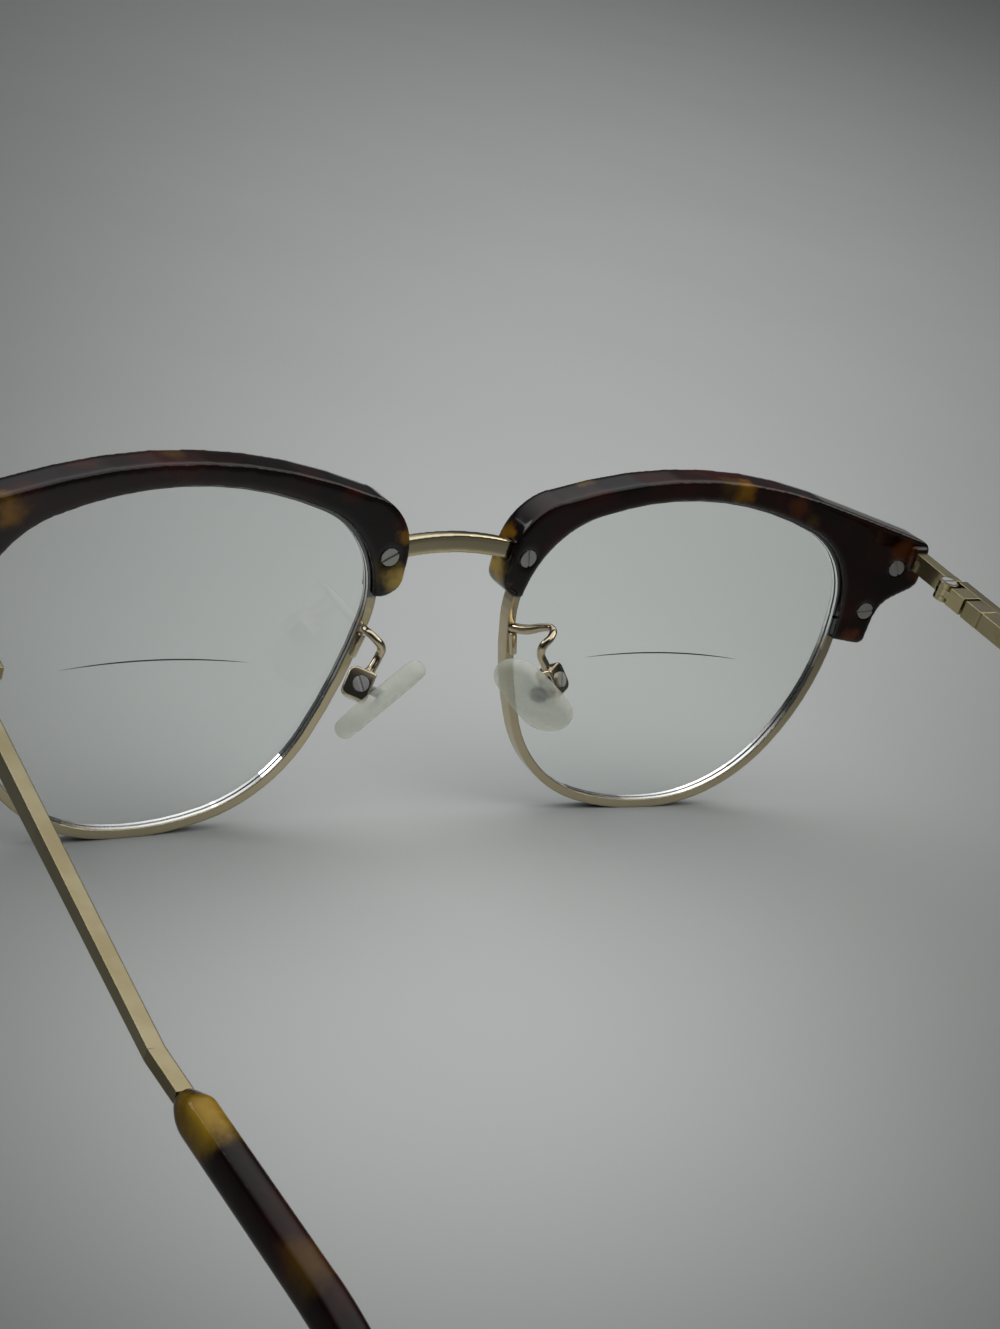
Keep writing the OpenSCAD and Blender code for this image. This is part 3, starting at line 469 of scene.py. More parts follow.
def lens_resin():
    """Clear cast resin with a very slight green-grey tint and a few faint smears."""
    made, add = finish_for("clear lens resin")
    smears = add("TexNoise", {"Vector": millimetres(add), "Scale": 1 / smear_size, "Detail": 3})
    clear_body = {
        "Base Color": colour("#fbfdfc"),
        "Transmission Weight": 1.0,
        "Roughness": add("MapRange", {0: smears, 1: smear_low, 2: smear_high, 4: smear_most}),
        "IOR": resin_ior,
        "Specular IOR Level": resin_shine,
    }
    body = add("BsdfPrincipled", clear_body)
    passing = add("BsdfTransparent", {"Color": colour("#f6f9f8")})
    shadow = add("LightPath", give="Is Shadow Ray")
    add("OutputMaterial", {"Surface": add("MixShader", {0: shadow, 1: body, 2: passing})})
    return made


resin = lens_resin()
print("lens resin with an IOR of", resin_ior)

# %% [markdown]
# ## Nose pads
#
# The pads are soft silicone moulded over a hard insert. Silicone is cloudy and slightly yellow, and it
# lets enough light through to show the insert inside as a grey shape. A blend with plain see-through
# gives that thin cloudiness with far less noise than real scattering would.

# %% Silicone
silicone_cloud = 1.1
silicone_grain, grain_strength = 0.12, 0.12
silicone_edge = 0.1
satin_best, satin_worst = 0.2, 0.34
silicone_ior = 1.41
scatter_share, scatter_reach, scatter_scale = 0.25, (0.003, 0.003, 0.0025), 0.3
pad_clearness, pad_shadow_clearness = 0.66, 0.9


def silicone():
    """Cloudy clear silicone with a satin skin."""
    made, add = finish_for("clear silicone, pads")
    place = millimetres(add)
    cloud = add("TexNoise", {"Vector": place, "Scale": 1 / silicone_cloud})
    grain = add("TexNoise", {"Vector": place, "Scale": 1 / silicone_grain})
    skin = {
        "Base Color": add("Mix", {0: cloud, 6: colour("#fbfcf5"), 7: colour("#f1f3e9")}, **as_colour),
        "Roughness": add("MapRange", {0: cloud, **most_of_noise, 3: satin_best, 4: satin_worst}),
        "IOR": silicone_ior,
        "Subsurface Weight": scatter_share,
        "Subsurface Radius": scatter_reach,
        "Subsurface Scale": scatter_scale,
        "Normal": rounded(add, silicone_edge, grain, grain_strength),
    }
    body = add("BsdfPrincipled", skin)
    passing = add("BsdfTransparent", {"Color": colour("#f4f5ef")})
    shadow = add("LightPath", give="Is Shadow Ray")
    share = add("MapRange", {0: shadow, 3: pad_clearness, 4: pad_shadow_clearness})
    add("OutputMaterial", {"Surface": add("MixShader", {0: share, 1: body, 2: passing})})
    return made


pad_silicone = silicone()
print("pads let", pad_clearness, "of the light straight through")

# %% [markdown]
# The insert is nearly clear too, and grey only where the metal stem is moulded into its middle. So its
# colour and its clearness both follow the distance from the middle of its solid.

# %% Insert
stem_grey = colour("#6f7375")
stem_core, stem_rim = 0.9, 1.7
insert_cloud, insert_rough, insert_edge = 0.6, 0.4, 0.3
insert_clearness, stem_clearness = 0.88, 0.12


def insert_plastic(side):
    """Clouded insert that turns grey where the stem is moulded into its middle."""
    made, add = finish_for("grey moulded insert, " + side)
    place = millimetres(add)
    low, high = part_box("pad_insert_" + side)
    middle = tuple((Vector(low) + Vector(high)) / 2 / mm)
    away = add("VectorMath", {0: place, 1: middle}, **as_distance)
    stem = add("MapRange", {0: away, 1: stem_core, 2: stem_rim, 3: 1, 4: 0}, **smoothly)
    cloud = add("TexNoise", {"Vector": place, "Scale": 1 / insert_cloud, "Detail": 3})
    pale = add("Mix", {0: cloud, 6: colour("#ccd0c8"), 7: colour("#dde0d8")}, **as_colour)
    hard = {
        "Base Color": add("Mix", {0: stem, 6: pale, 7: stem_grey}, **as_colour),
        "Roughness": insert_rough,
        "Normal": rounded(add, insert_edge),
    }
    body = add("BsdfPrincipled", hard)
    share = add("MapRange", {0: stem, 3: insert_clearness, 4: stem_clearness})
    passing = add("BsdfTransparent")
    add("OutputMaterial", {"Surface": add("MixShader", {0: share, 1: body, 2: passing})})
    return made


pad_core = {side: insert_plastic(side) for side in sides}
print("inserts for", len(pad_core), "pads")

# %% [markdown]
# ## Finishes on the solids
#
# Each solid takes the finish of its real stuff.

# %% Put the finishes on


def wear(name, finish):
    """Gives a solid its finish."""
    piece = nodes[name]
    piece.data.materials.clear()
    piece.data.materials.append(finish)


for side in sides:
    wear("brow_" + side, brow_finish[side])
    wear("temple_tip_" + side, tip_finish[side])
    wear("rim_" + side, wire_gold)
    wear("lens_" + side, resin)
    wear("closing_screw_" + side, screw_steel)
    wear("end_piece_" + side, hinge_gold)
    wear("slider_" + side, hinge_gold)
    # The spring cases and temples take the plating that is darkened with painted shade.
    wear("spring_case_" + side, shaded_bar_gold)
    wear("temple_" + side, shaded_bar_gold)
    wear("hinge_screw_" + side, screw_steel)
    wear("pad_screw_" + side, pad_screw_steel)
    wear("spring_" + side, spring_steel)
    wear("pad_insert_" + side, pad_core[side])
wear("bridge", bridge_gold)
wear("brow_screws", screw_steel)
print("finishes on", sum(len(piece.data.materials) > 0 for piece in nodes.values()), "solids")

# %% [markdown]
# ## Tumbled acetate and the buffed bridge
#
# Acetate is tumbled in a drum of beech pegs until no edge is left sharp, so the brows and tips are
# rounded in their form too, and the bridge is buffed round in the same way. A bevel would round the
# edges but leave the small flats of the curves. So each solid is cut into small even grains, which are
# then smoothed. Smoothing it further would round too much away, so a longer polish gives only its
# directions to the surface.

# %% Tumble the brows, the tips and the bridge
weld_gap = 0.0005
rub_strength = 0.5


def tumble(name, body, slot_name, grain, turns, polish_turns):
    """Rounds every edge of a solid as tumbling does, and lays the shine of a longer polish over it."""
    piece = nodes[name]
    weld = piece.modifiers.new("join", "WELD")
    weld.merge_threshold = weld_gap * mm
    skin = piece.modifiers.new("skin", "REMESH")
    skin.mode = "VOXEL"
    skin.voxel_size = grain * mm
    skin.use_smooth_shade = True
    rub = piece.modifiers.new("rub", "SMOOTH")
    rub.factor = rub_strength
    meshes = []
    for count in (turns, polish_turns):
        rub.iterations = count
        graph = bpy.context.evaluated_depsgraph_get()
        meshes.append(bpy.data.meshes.new_from_object(piece.evaluated_get(graph), depsgraph=graph))
    piece.modifiers.clear()
    data, polished = meshes
    data.shade_smooth()
    data.normals_split_custom_set_from_vertices([corner.normal[:] for corner in polished.vertices])
    bpy.data.meshes.remove(polished)
    data.name = name + "_tumbled"
    made = shown(name + "_tumbled", data)
    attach(made, body)
    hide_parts(name)
    return made


brow_drum = {"grain": 0.14, "turns": 9, "polish_turns": 70}
tip_drum = {"grain": 0.16, "turns": 24, "polish_turns": 60}
bridge_buff = {"grain": 0.12, "turns": 12, "polish_turns": 40}
tumbled = []
for side in sides:
    tumbled.append(tumble("brow_" + side, "front", "acetate", **brow_drum))
    tumbled.append(tumble("temple_tip_" + side, "temple_" + side, "acetate", **tip_drum))
tumbled.append(tumble("bridge", "front", "gold", **bridge_buff))
print("tumbled", [piece.name for piece in tumbled])

# %% [markdown]
# ## Where the end bars leave the brows
#
# The acetate closes round each end bar, where the two were pressed together warm. The solid has an open
# slot there, so a small rounded collar of the same sheet fills it. It starts as a plain block, and so do
# the box and the foot of each pad arm further on.

# %% Blocks and their objects


def block(size, round_by=0.0, steps=3):
    """Closed block of that size about its own middle, with all its edges rounded if a radius is given."""
    mesh = bmesh.new()
    bmesh.ops.create_cube(mesh, size=1)
    bmesh.ops.scale(mesh, vec=size, verts=mesh.verts)
    if round_by:
        edges = mesh.edges[:]
        bmesh.ops.bevel(mesh, geom=edges, offset=round_by, segments=steps, affect="EDGES", profile=0.5)
    return mesh


def piece_from(mesh, name, finish, ways=None, centre=None):
    """Smooth object from a mesh in making, turned to those three directions and moved to that place."""
    data = bpy.data.meshes.new(name)
    mesh.to_mesh(data)
    mesh.free()
    if ways is not None:
        rows = [[ways[0][i], ways[1][i], ways[2][i], centre[i]] for i in range(3)]
        data.transform(Matrix(rows + [[0, 0, 0, 1]]))
    data.shade_smooth()
    data.materials.append(finish)
    return shown(name, data)


unturned = (Vector((1, 0, 0)), Vector((0, 1, 0)), Vector((0, 0, 1)))
print("blocks are made, turned and moved by two functions")

# %% Collars round the end bars
# Sizes are in mm from the middle of the glasses: outward, up from the surface, and back.
brow_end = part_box("brow_left")[1][0] / mm
collar_inner = 68.3
collar_outer = brow_end - 0.12
collar_low, collar_high = 37.1, 40.8
collar_rear, collar_depth = -66.95, 2.4
collar_edge = 0.7


def collar(side):
    """Rounded fill between an end bar and its brow."""
    size = Vector((collar_outer - collar_inner, collar_depth, collar_high - collar_low)) * mm
    across = outward[side] * (collar_outer + collar_inner) / 2
    middle = Vector((across, collar_rear - collar_depth / 2, (collar_high + collar_low) / 2)) * mm
    fill = block(size, collar_edge * mm, steps=6)
    made = piece_from(fill, "collar_" + side, brow_finish[side], unturned, middle)
    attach(made, "front")
    return made


collars = [collar(side) for side in sides]
print(len(collars), "collars, out to", round(collar_outer, 2), "mm")

# %% [markdown]
# ## Nose pads as moulded
#
# A pad is a drop shape with full round edges and a slight hollow on the side that rests on the nose. Its
# place, its directions and its sizes are all measured on its solid. The three main directions of its
# points are its length, its width and its thickness, in that order.

# %% Measure a pad


def pad_directions(name):
    """Middle of a pad, its three directions, and its points along them.

    The directions are its length, downward, its width, and its thickness, toward the face."""
    points = np.array([v.co[:] for v in nodes[name].data.vertices])
    mean = points.mean(0)
    long_way, _, thick_way = np.linalg.svd(points - mean, full_matrices=False)[2]
    if long_way[2] > 0:
        long_way = -long_way
    if thick_way[1] < 0:
        thick_way = -thick_way
    ways = np.array([long_way, np.cross(thick_way, long_way), thick_way])
    local = (points - mean) @ ways.T
    centre = mean + (local.min(0) + local.max(0)) / 2 @ ways
    return centre, ways, (points - centre) @ ways.T


def turns_left(first, second, third):
    """Whether the way through three flat points bends to the left."""
    ahead, after = np.subtract(second, first), np.subtract(third, second)
    return ahead[0] * after[1] - ahead[1] * after[0] > 0


def hull_outline(points, count):
    """Evenly spaced outline round flat points, as a thread pulled tight round them would lie."""
    flat = sorted(set((round(x, 7), round(y, 7)) for x, y in points))
    chain = []
    for run in (flat, flat[::-1]):
        part = []
        for spot in run:
            while len(part) > 1 and not turns_left(part[-2], part[-1], spot):
                part.pop()
            part.append(spot)
        chain += part[:-1]
    loop = np.array(chain + chain[:1])
    along = np.r_[0, np.cumsum(np.linalg.norm(np.diff(loop, axis=0), axis=1))]
    want = np.linspace(0, along[-1], count, endpoint=False)
    return np.c_[np.interp(want, along, loop[:, 0]), np.interp(want, along, loop[:, 1])]


print("left pad in mm:", [round(v / mm, 1) for v in pad_directions("nose_pad_left")[0]])

# %% [markdown]
# The pad's skin is a stack of rings round its outline. They draw in along a half circle from one face to
# the other, which makes the full round edge, and then close over each face. On the nose side they sink
# toward the middle, for the hollow.

# %% Raise the pads
pad_points = 96
edge_turns = 8
edge_draw = 0.864
face_rings = (0.8, 0.55, 0.3, 0.1)
pad_hollow = 0.16


def walled(mesh, lower, upper):
    """Faces between two rings of the same count."""
    for i in range(len(lower)):
        j = (i + 1) % len(lower)
        mesh.faces.new((lower[i], lower[j], upper[j], upper[i]))


def pad_face(mesh, rim, sink):
    """Closes one face of a pad with smaller and smaller rings, which sink toward the middle."""
    last = rim
    for share in face_rings:
        drop = sink * (1 - share)
        ring = [mesh.verts.new((v.co.x * share, v.co.y * share, v.co.z - drop)) for v in rim]
        walled(mesh, last, ring)
        last = ring
    mesh.faces.new(last)


def moulded_pad(side):
    """Silicone pad with full round edges, over the solid of the same side."""
    centre, ways, local = pad_directions("nose_pad_" + side)
    outline = hull_outline(local[:, :2], pad_points)
    inward = -outline / np.linalg.norm(outline, axis=1)[:, None]
    half = (local[:, 2].max() - local[:, 2].min()) / 2
    mesh = bmesh.new()
    rows = []
    for k in range(2 * edge_turns + 1):
        turn = math.pi * (k / (2 * edge_turns) - 0.5)
        ring = outline + inward * half * edge_draw * (1 - math.cos(turn))
        rows.append([mesh.verts.new((x, y, half * math.sin(turn))) for x, y in ring])
    for lower, upper in zip(rows, rows[1:]):
        walled(mesh, lower, upper)
    pad_face(mesh, rows[-1], pad_hollow * mm)
    pad_face(mesh, rows[0][::-1], 0)
    skin = piece_from(mesh, "pad_skin_" + side, pad_silicone, ways, centre)
    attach(skin, "pad_" + side)
    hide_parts("nose_pad_" + side)
    return ways


pad_ways = {side: moulded_pad(side) for side in sides}
print("pads of", 2 * edge_turns + 1, "rings each")

# %% [markdown]
# ## Pad arms as bent wire
#
# Each arm is one wire soldered to a small foot on the rim. It rises, loops out and back, and ends in a
# box that takes the pad's stem. The solid follows the same bends with straight lengths. Here the wire
# runs through them in one smooth curve, thicker near its root where it was pinched in the former.

# %% Wire of an arm
front_middle = Vector((0, -71.857, 22.721)) * mm
wire_radius = 0.5

# Each bend is in mm outward, back and up from the middle of the front, with the wire's swelling there.
wire_bends = [
    ((10.75, -1.6, 3.5), 1.0),
    ((10.95, -0.7, 3.85), 1.25),
    ((11.6, 0.76, 4.31), 1.3),
    ((12.9, 2.7, 5.5), 1.0),
    ((13.3, 3.7, 5.82), 0.95),
    ((12.53, 5.0, 5.31), 1.0),
    ((11.5, 5.2, 4.1), 1.1),
    ((11.58, 5.1, 3.05), 1.05),
    ((12.35, 5.5, 1.7), 1.1),
    ((12.9, 5.65, 0.9), 1.5),
]


def on_side(side, place):
    """Real place on one side of the front, from millimetres outward, back and up from its middle."""
    out, back, rise = place
    return front_middle + Vector((outward[side] * out, back, rise)) * mm


def pad_wire(side):
    """Bent wire of one arm, in one smooth curve through its bends."""
    line = bpy.data.curves.new("pad_wire_" + side, "CURVE")
    line.dimensions = "3D"
    line.bevel_depth = wire_radius * mm
    line.bevel_resolution = 6
    line.use_fill_caps = True
    line.materials.append(arm_gold)
    run = line.splines.new("BEZIER")
    run.resolution_u = 10
    run.bezier_points.add(len(wire_bends) - 1)
    for spot, (bend, swelling) in zip(run.bezier_points, wire_bends):
        spot.co = on_side(side, bend)
        spot.radius = swelling
        spot.handle_left_type = "AUTO"
        spot.handle_right_type = "AUTO"
    return shown("pad_wire_" + side, line)


print("wire of", 2 * wire_radius, "mm through", len(wire_bends), "bends")

# %% [markdown]
# The box leans a little from the pad's own directions, as the pad rocks on its stem. It is open on the
# pad's side and cut hollow there, and it sits just in front of the joint that the pad rocks about.

# %% Box of an arm
joint_of = {joint["name"]: joint for joint in frame["joints"]}
box_lean = math.radians(-27)
box_long, box_wide, box_deep = 3.7 * mm, 2.3 * mm, 3.3 * mm
box_setback = 0.2 * mm
box_corner = 0.95 * mm
mouth_corner = 0.3 * box_corner
hollow_long, hollow_wide = 2.0 * mm, 1.4 * mm
hollow_shift = 0.5 * mm
box_edge = 0.26 * mm
sharp_edge = math.radians(40)


def box_block():
    """Block of a box, rounder along the edges of its closed side than along those of its mouth."""
    mesh = block((box_long, box_wide, box_deep))
    crosswise = [e for e in mesh.edges if abs((e.verts[0].co - e.verts[1].co).y) > 0.9 * box_wide]
    closed = [e for e in crosswise if e.verts[0].co.z < 0]
    mouth = [e for e in crosswise if e.verts[0].co.z > 0]
    bmesh.ops.bevel(mesh, geom=closed, offset=box_corner, segments=6, affect="EDGES", profile=0.5)
    mouth = [e for e in mouth if e.is_valid]
    bmesh.ops.bevel(mesh, geom=mouth, offset=mouth_corner, segments=3, affect="EDGES", profile=0.5)
    return mesh


def pad_box(side):
    """Box of one arm, and the block that cuts it hollow."""
    centre = Vector(joint_of["pad_rock_" + side]["pos_m"])
    long_way, _, thick_way = [Vector(way) for way in pad_ways[side]]
    box_x = long_way * math.cos(box_lean) - thick_way * math.sin(box_lean)
    box_z = long_way * math.sin(box_lean) + thick_way * math.cos(box_lean)
    ways = (box_x, box_z.cross(box_x), box_z)
    place = centre - box_z * box_setback
    box = piece_from(box_block(), "pad_box_" + side, arm_gold, ways, place)
    inside = block((hollow_long, hollow_wide, box_deep + hollow_shift))
    bmesh.ops.translate(inside, vec=(0, 0, hollow_shift), verts=inside.verts)
    hollow = piece_from(inside, "hollow_" + side, arm_gold, ways, centre)
    cut = box.modifiers.new("hollow", "BOOLEAN")
    cut.object = hollow
    cut.operation = "DIFFERENCE"
    cut.solver = "EXACT"
    edge = box.modifiers.new("round", "BEVEL")
    edge.width = box_edge
    edge.segments = 4
    edge.limit_method = "ANGLE"
    edge.angle_limit = sharp_edge
    return box, hollow


print("boxes lean", round(math.degrees(box_lean)), "degrees")

# %% [markdown]
# The foot is soldered to the back of the rim and sunk a little into it. The three parts are then joined
# to one piece, as solder joins the real ones.

# %% Foot of an arm, and the whole arm
foot_across, foot_deep, foot_tall = 0.9 * mm, 1.0 * mm, 3.1 * mm
foot_edge = 0.2 * mm
foot_top = (10.85, 0, 3.2)
foot_lean = math.radians(-15)
rim_back, foot_bite = -1.22 * mm, 0.1 * mm
arm_sharp = math.radians(50)


def pad_foot(side):
    """Small upright foot on the back of the rim."""
    lean = foot_lean * outward[side]
    foot_x = Vector((math.cos(lean), 0, -math.sin(lean)))
    foot_z = Vector((math.sin(lean), 0, math.cos(lean)))
    back = Vector((0, rim_back - foot_bite + foot_deep / 2, 0))
    middle = on_side(side, foot_top) - foot_z * foot_tall / 2 + back
    shape = block((foot_across, foot_deep, foot_tall), foot_edge)
    return piece_from(shape, "pad_foot_" + side, arm_gold, (foot_x, Vector((0, 1, 0)), foot_z), middle)


def pad_arm(side):
    """Wire, box and foot of one arm, joined to one piece."""
    wire = pad_wire(side)
    box, hollow = pad_box(side)
    foot = pad_foot(side)
    bpy.context.view_layer.update()
    graph = bpy.context.evaluated_depsgraph_get()
    joined = bmesh.new()
    for part in (wire, box, foot):
        joined.from_mesh(part.evaluated_get(graph).to_mesh())
        part.evaluated_get(graph).to_mesh_clear()
    for part in (wire, box, foot, hollow):
        bpy.data.objects.remove(part)
    arm = piece_from(joined, "pad_wirework_" + side, arm_gold)
    arm.data.set_sharp_from_angle(angle=arm_sharp)
    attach(arm, "front")
    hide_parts("pad_arm_" + side)
    return arm


arms = [pad_arm(side) for side in sides]
print("arms with", [len(arm.data.vertices) for arm in arms], "points")

# %% [markdown]
# ## Lenses as cast
#
# The lenses are bifocal. The solid has the whole reading segment standing proud, but on the real lens
# only the step along its top shows. So the lens is raised again without the segment, on the outlines
# measured on its solid. Both its faces are parts of balls about one middle far behind the glasses, and
# a fine ridge runs round its edge, where it sits in the groove of the rim.

# %% Smooth lenses
# The ball runs through the middle of the lens. Its faces, the shoulders of its edge and the ridge
# between them lie that many mm before and behind it.
lens_ball = 242.0
ball_middle = (23.4, 239.46, 4.0)
lens_half, shoulder, ridge = 0.9, 0.25, 0.02
outline_points = 160
ring_slack = 0.02
face_shares = (0.04, 0.2, 0.4, 0.6, 0.8, 0.93, 1)
lens_sharp = math.radians(30)


def smooth_lens(side):
    """Lens with ball-shaped faces and a ridged edge, over the outlines measured on its solid."""
    centre = on_side(side, ball_middle)
    points = np.array([v.co[:] for v in nodes["lens_" + side].data.vertices])
    away = np.linalg.norm(points - np.array(centre), axis=1) / mm
    on_face = abs(away - lens_ball - lens_half) < ring_slack
    face = hull_outline(points[on_face][:, [0, 2]], outline_points)
    rim = hull_outline(points[:, [0, 2]], outline_points)
    middle = rim.mean(0)
    levels = [(face, share, lens_half) for share in face_shares]
    levels += [(face, 1, shoulder), (rim, 1, ridge), (rim, 1, -ridge), (face, 1, -shoulder)]
    levels += [(face, share, -lens_half) for share in reversed(face_shares)]
    mesh = bmesh.new()
    rows = []
    for ring, share, rise in levels:
        radius = (lens_ball + rise) * mm
        row = []
        for x, z in middle + (ring - middle) * share:
            y = centre.y - math.sqrt(radius**2 - (x - centre.x) ** 2 - (z - centre.z) ** 2)
            row.append(mesh.verts.new((x, y, z)))
        rows.append(row)
    for near, far in zip(rows, rows[1:]):
        walled(mesh, near, far)
    mesh.faces.new(rows[0][::-1])
    mesh.faces.new(rows[-1])
    bmesh.ops.recalc_face_normals(mesh, faces=mesh.faces)
    skin = piece_from(mesh, "lens_skin_" + side, resin)
    skin.data.set_sharp_from_angle(angle=lens_sharp)
    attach(skin, "front")
    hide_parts("lens_" + side)
    return skin


lens_skins = [smooth_lens(side) for side in sides]
print(len(lens_skins), "lenses,", 2 * lens_half, "mm thick")

# %% [markdown]
# ## The reading segment
#
# The step along the top of a segment bends the light away and shows as one thin dark line that fades out
# at its ends. A hair of dark shade is laid into the front of the lens, and it swells in the middle.

# %% Lines of the segments
lens_middle = 36.0
segment_out = 0.5
segment_half = 12.3
segment_up = -0.68
segment_arch = 110.0
hair_radius, hair_sink, hair_end = 0.095, 0.1, 0.02
hair_points = 49
shade_size, shade_rough = 3, 0.6


def step_shade():
    """Near-black shade of a step in clear resin, a little uneven along its run."""
    made, add = finish_for("shade in the segment's step")
    uneven = add("TexNoise", {"Vector": millimetres(add), "Scale": 1 / shade_size})
    tint = add("Mix", {0: uneven, 6: colour("#1c1e1f"), 7: colour("#2a2c2d")}, **as_colour)
    body = add("BsdfPrincipled", {"Base Color": tint, "Roughness": shade_rough})
    add("OutputMaterial", {"Surface": body})
    return made


def segment_line(side, shade):
    """Thin dark line along the top of a reading segment, tapering to nothing."""
    line = bpy.data.curves.new("segment_line_" + side, "CURVE")
    line.dimensions = "3D"
    line.bevel_depth = hair_radius * mm
    line.bevel_resolution = 2
    line.materials.append(shade)
    run = line.splines.new("POLY")
    run.points.add(hair_points - 1)
    for k, spot in enumerate(run.points):
        share = 2 * k / (hair_points - 1) - 1
        x = lens_middle + segment_out + share * segment_half
        z = segment_up - segment_arch + math.sqrt(segment_arch**2 - (share * segment_half) ** 2)
        depth = (lens_ball + lens_half) ** 2 - (x - ball_middle[0]) ** 2 - (z - ball_middle[2]) ** 2
        y = ball_middle[1] - math.sqrt(depth) + hair_sink
        spot.co = (*on_side(side, (x, y, z)), 1)
        spot.radius = 1 - abs(share) ** 3 + hair_end
    hair = shown("segment_line_" + side, line)
    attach(hair, "front")
    return hair


line_shade = step_shade()
hairs = [segment_line(side, line_shade) for side in sides]
print(len(hairs), "segment lines,", 2 * segment_half, "mm long")

# %% [markdown]
# ## The surface
#
# The glasses stand on a plain pale grey surface. The light lies on it in one pool, which fades to the
# sides of a fan and toward its root. So the fade is worked out from the bearing and the distance of each
# place, seen from the root: it is a bell curve of both together, and never darker than a least share.

# %% Surface with its pool of light
# Sizes are in metres and bearings in degrees, but the speckle of the surface is in mm.
surface_half = 6.0
fan_root = (0.148, 0.1435, 0)
fan_bearing, fan_half = 36.9, 19.0
pool_reach = 0.23
fade_beyond, fade_before = 1.87, 0.5
least_light = 0.2
speckle_size = 60
surface_rough, surface_shine = 0.75, 0.2


def pool_of_light(add):
    """Share of the light at each place on the surface."""
    place = add("TexCoord", give="Object")
    to_root = add("VectorMath", {0: fan_root, 1: place}, operation="SUBTRACT")
    across = add("SeparateXYZ", {0: to_root}, give="X")
    back = add("SeparateXYZ", {0: to_root}, give="Y")
    turn = add("Math", {0: across, 1: back}, operation="ARCTAN2")
    bearing = add("Math", {0: turn}, operation="DEGREES")
    off_middle = add("Math", {0: bearing, 1: fan_bearing}, operation="SUBTRACT")
    sideways = add("Math", {0: off_middle, 1: fan_half}, operation="DIVIDE")
    away = add("VectorMath", {0: to_root}, operation="LENGTH", give=1)
    ratio = add("Math", {0: away, 1: pool_reach}, operation="DIVIDE")
    depth = add("Math", {0: ratio, 1: math.e}, operation="LOGARITHM")
    past = add("Math", {0: depth, 1: 0.0}, operation="MAXIMUM")
    short = add("Math", {0: depth, 1: 0.0}, operation="MINIMUM")
    beyond = add("Math", {0: past, 1: fade_beyond}, operation="DIVIDE")
    before = add("Math", {0: short, 1: fade_before}, operation="DIVIDE")
    spread = 0.0
    for part in (sideways, beyond, before):
        spread = add("Math", {0: part, 1: part, 2: spread}, operation="MULTIPLY_ADD")
    falling = add("Math", {0: spread, 1: -1.0}, operation="MULTIPLY")
    bell = add("Math", {0: math.e, 1: falling}, operation="POWER")
    return add("Math", {0: bell, 1: least_light}, operation="MAXIMUM")


surface_data = bpy.data.meshes.new("surface")
corners = [(x * surface_half, y * surface_half, 0) for x, y in ((-1, -1), (1, -1), (1, 1), (-1, 1))]
surface_data.from_pydata(corners, [], [(0, 1, 2, 3)])
surface = shown("surface", surface_data)

surface_finish, add_step = finish_for("plain pale grey surface")
speckle = add_step("TexNoise", {"Vector": millimetres(add_step), "Scale": 1 / speckle_size})
paper = add_step("Mix", {0: speckle, 6: colour("#b3b5b3"), 7: colour("#b8bab8")}, **as_colour)
lit = add_step("Mix", {0: pool_of_light(add_step), 6: colour("#000000"), 7: paper}, **as_colour)
matt = {"Base Color": lit, "Roughness": surface_rough, "Specular IOR Level": surface_shine}
add_step("OutputMaterial", {"Surface": add_step("BsdfPrincipled", matt)})
surface_data.materials.append(surface_finish)
print("surface of", 2 * surface_half, "m")

# %% [markdown]
# ## The light
#
# Most of the light comes from a wide soft lamp overhead. Polish shows only what is around it, so the lamp
# is kept out of reflections, where it would lie on the brows as a hard white patch, and they show the
# room instead. The room is pale above and dark low down and behind the camera, which gives the polished
# metal its dark bands.

# %% Lamps


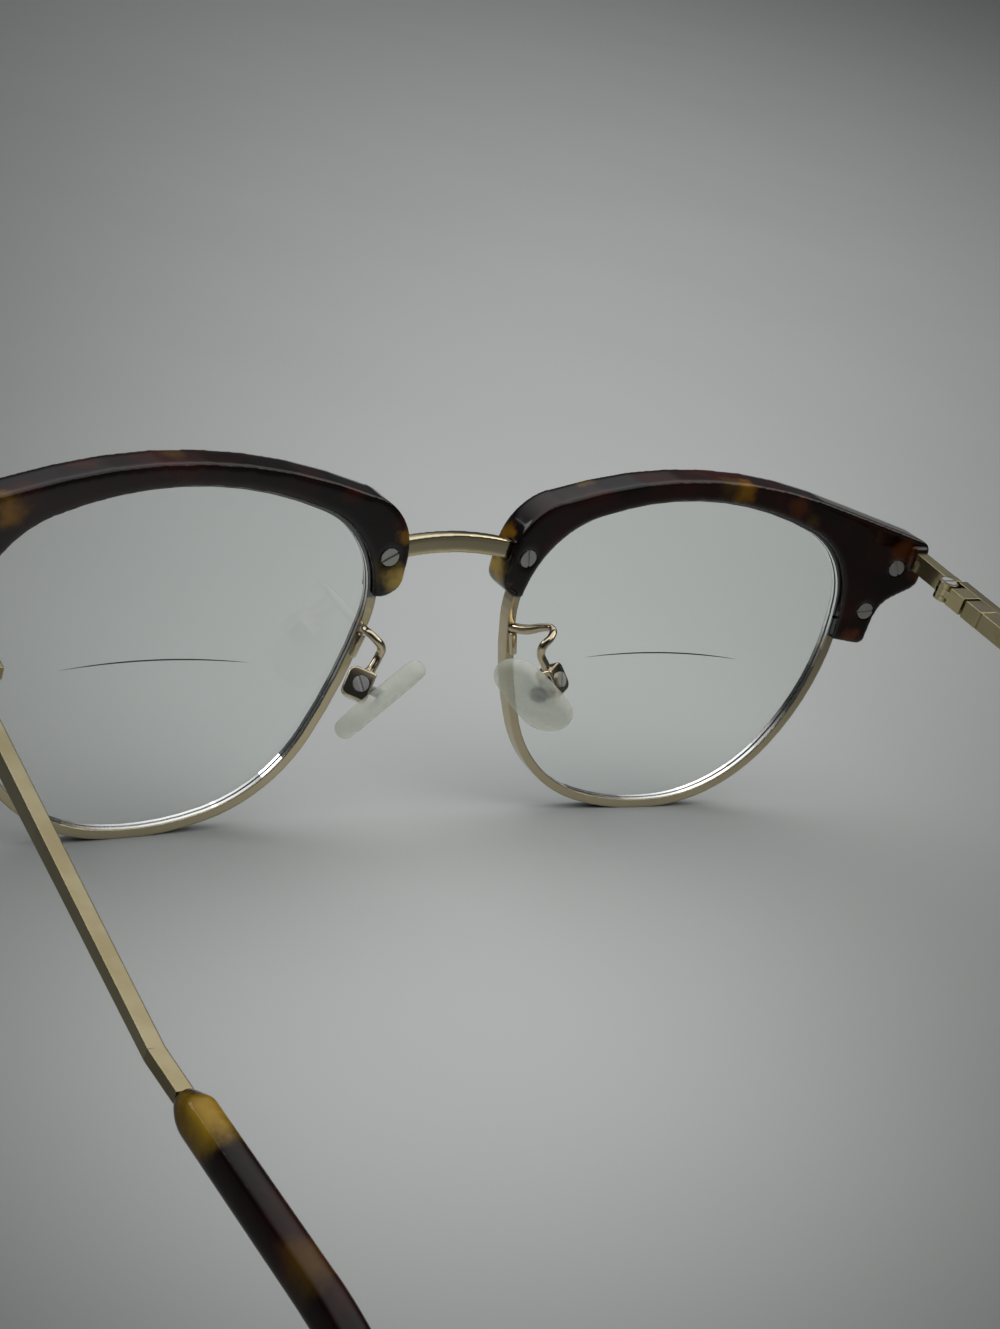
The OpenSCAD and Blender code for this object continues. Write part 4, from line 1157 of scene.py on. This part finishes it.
def softbox(name, place, aim, size, power, tint="#ffffff"):
    """Wide soft lamp at a place in metres, turned toward its aim, with its power in watts."""
    data = bpy.data.lights.new(name, "AREA")
    data.shape = "RECTANGLE"
    data.size, data.size_y = size
    data.energy = power
    data.color = colour(tint)[:3]
    lamp = shown(name, data)
    lamp.location = place
    lamp.rotation_euler = (Vector(aim) - Vector(place)).to_track_quat("-Z", "Y").to_euler()
    return lamp


overhead = softbox("overhead light", (-0.15, -0.25, 1.25), (0, -0.05, 0), size=(1.5, 1.2), power=5)
overhead.visible_glossy = False
lamps = [
    overhead,
    softbox("side light", (-0.9, 0.35, 0.7), (0, 0, 0), size=(0.7, 0.5), power=1.5, tint="#fff6ea"),
    softbox("edge light", (0.75, -0.75, 0.55), (0, -0.07, 0.03), size=(0.5, 0.25), power=1),
]
print(len(lamps), "lamps of", sum(lamp.data.energy for lamp in lamps), "watts")

# %% The room around the glasses
room_low, room_high = colour("#373b3d"), colour("#f4f6f7")
behind_camera = colour("#22262a")
camera_side = (0.56, 0.76, 0.33)
horizon, zenith = 0.28, 0.85
dark_rim, dark_core = 0.62, 0.86
room_strength = 1.2

world = bpy.data.worlds.new("room")
scene.world = world
world.use_nodes = True
world.node_tree.nodes.clear()
add_room = partial(step, world.node_tree)
direction = add_room("TexCoord", give="Generated")
rise = add_room("SeparateXYZ", {0: direction}, give="Z")
upper = add_room("MapRange", {0: rise, 1: horizon, 2: zenith}, **smoothly)
wall = add_room("Mix", {0: upper, 6: room_low, 7: room_high}, **as_colour)
behind = add_room("VectorMath", {0: direction, 1: camera_side}, operation="DOT_PRODUCT", give=1)
darkness = add_room("MapRange", {0: behind, 1: dark_rim, 2: dark_core}, **smoothly)
wall = add_room("Mix", {0: darkness, 6: wall, 7: behind_camera}, **as_colour)
glow = add_room("Background", {"Color": wall, "Strength": room_strength})
add_room("OutputWorld", {"Surface": glow})
print("room with a strength of", room_strength)

# %% [markdown]
# ## Light paths
#
# Light goes through a lens and its rim several times before it is spent, so more bounces are allowed than
# usual. Focused spots under the lenses are left out, as they would show only as noise.

# %% Set the light paths
scene.cycles.max_bounces = 16
scene.cycles.transmission_bounces = 12
scene.cycles.transparent_max_bounces = 12
scene.cycles.caustics_reflective = False
scene.cycles.caustics_refractive = False
scene.view_settings.view_transform = "Standard"
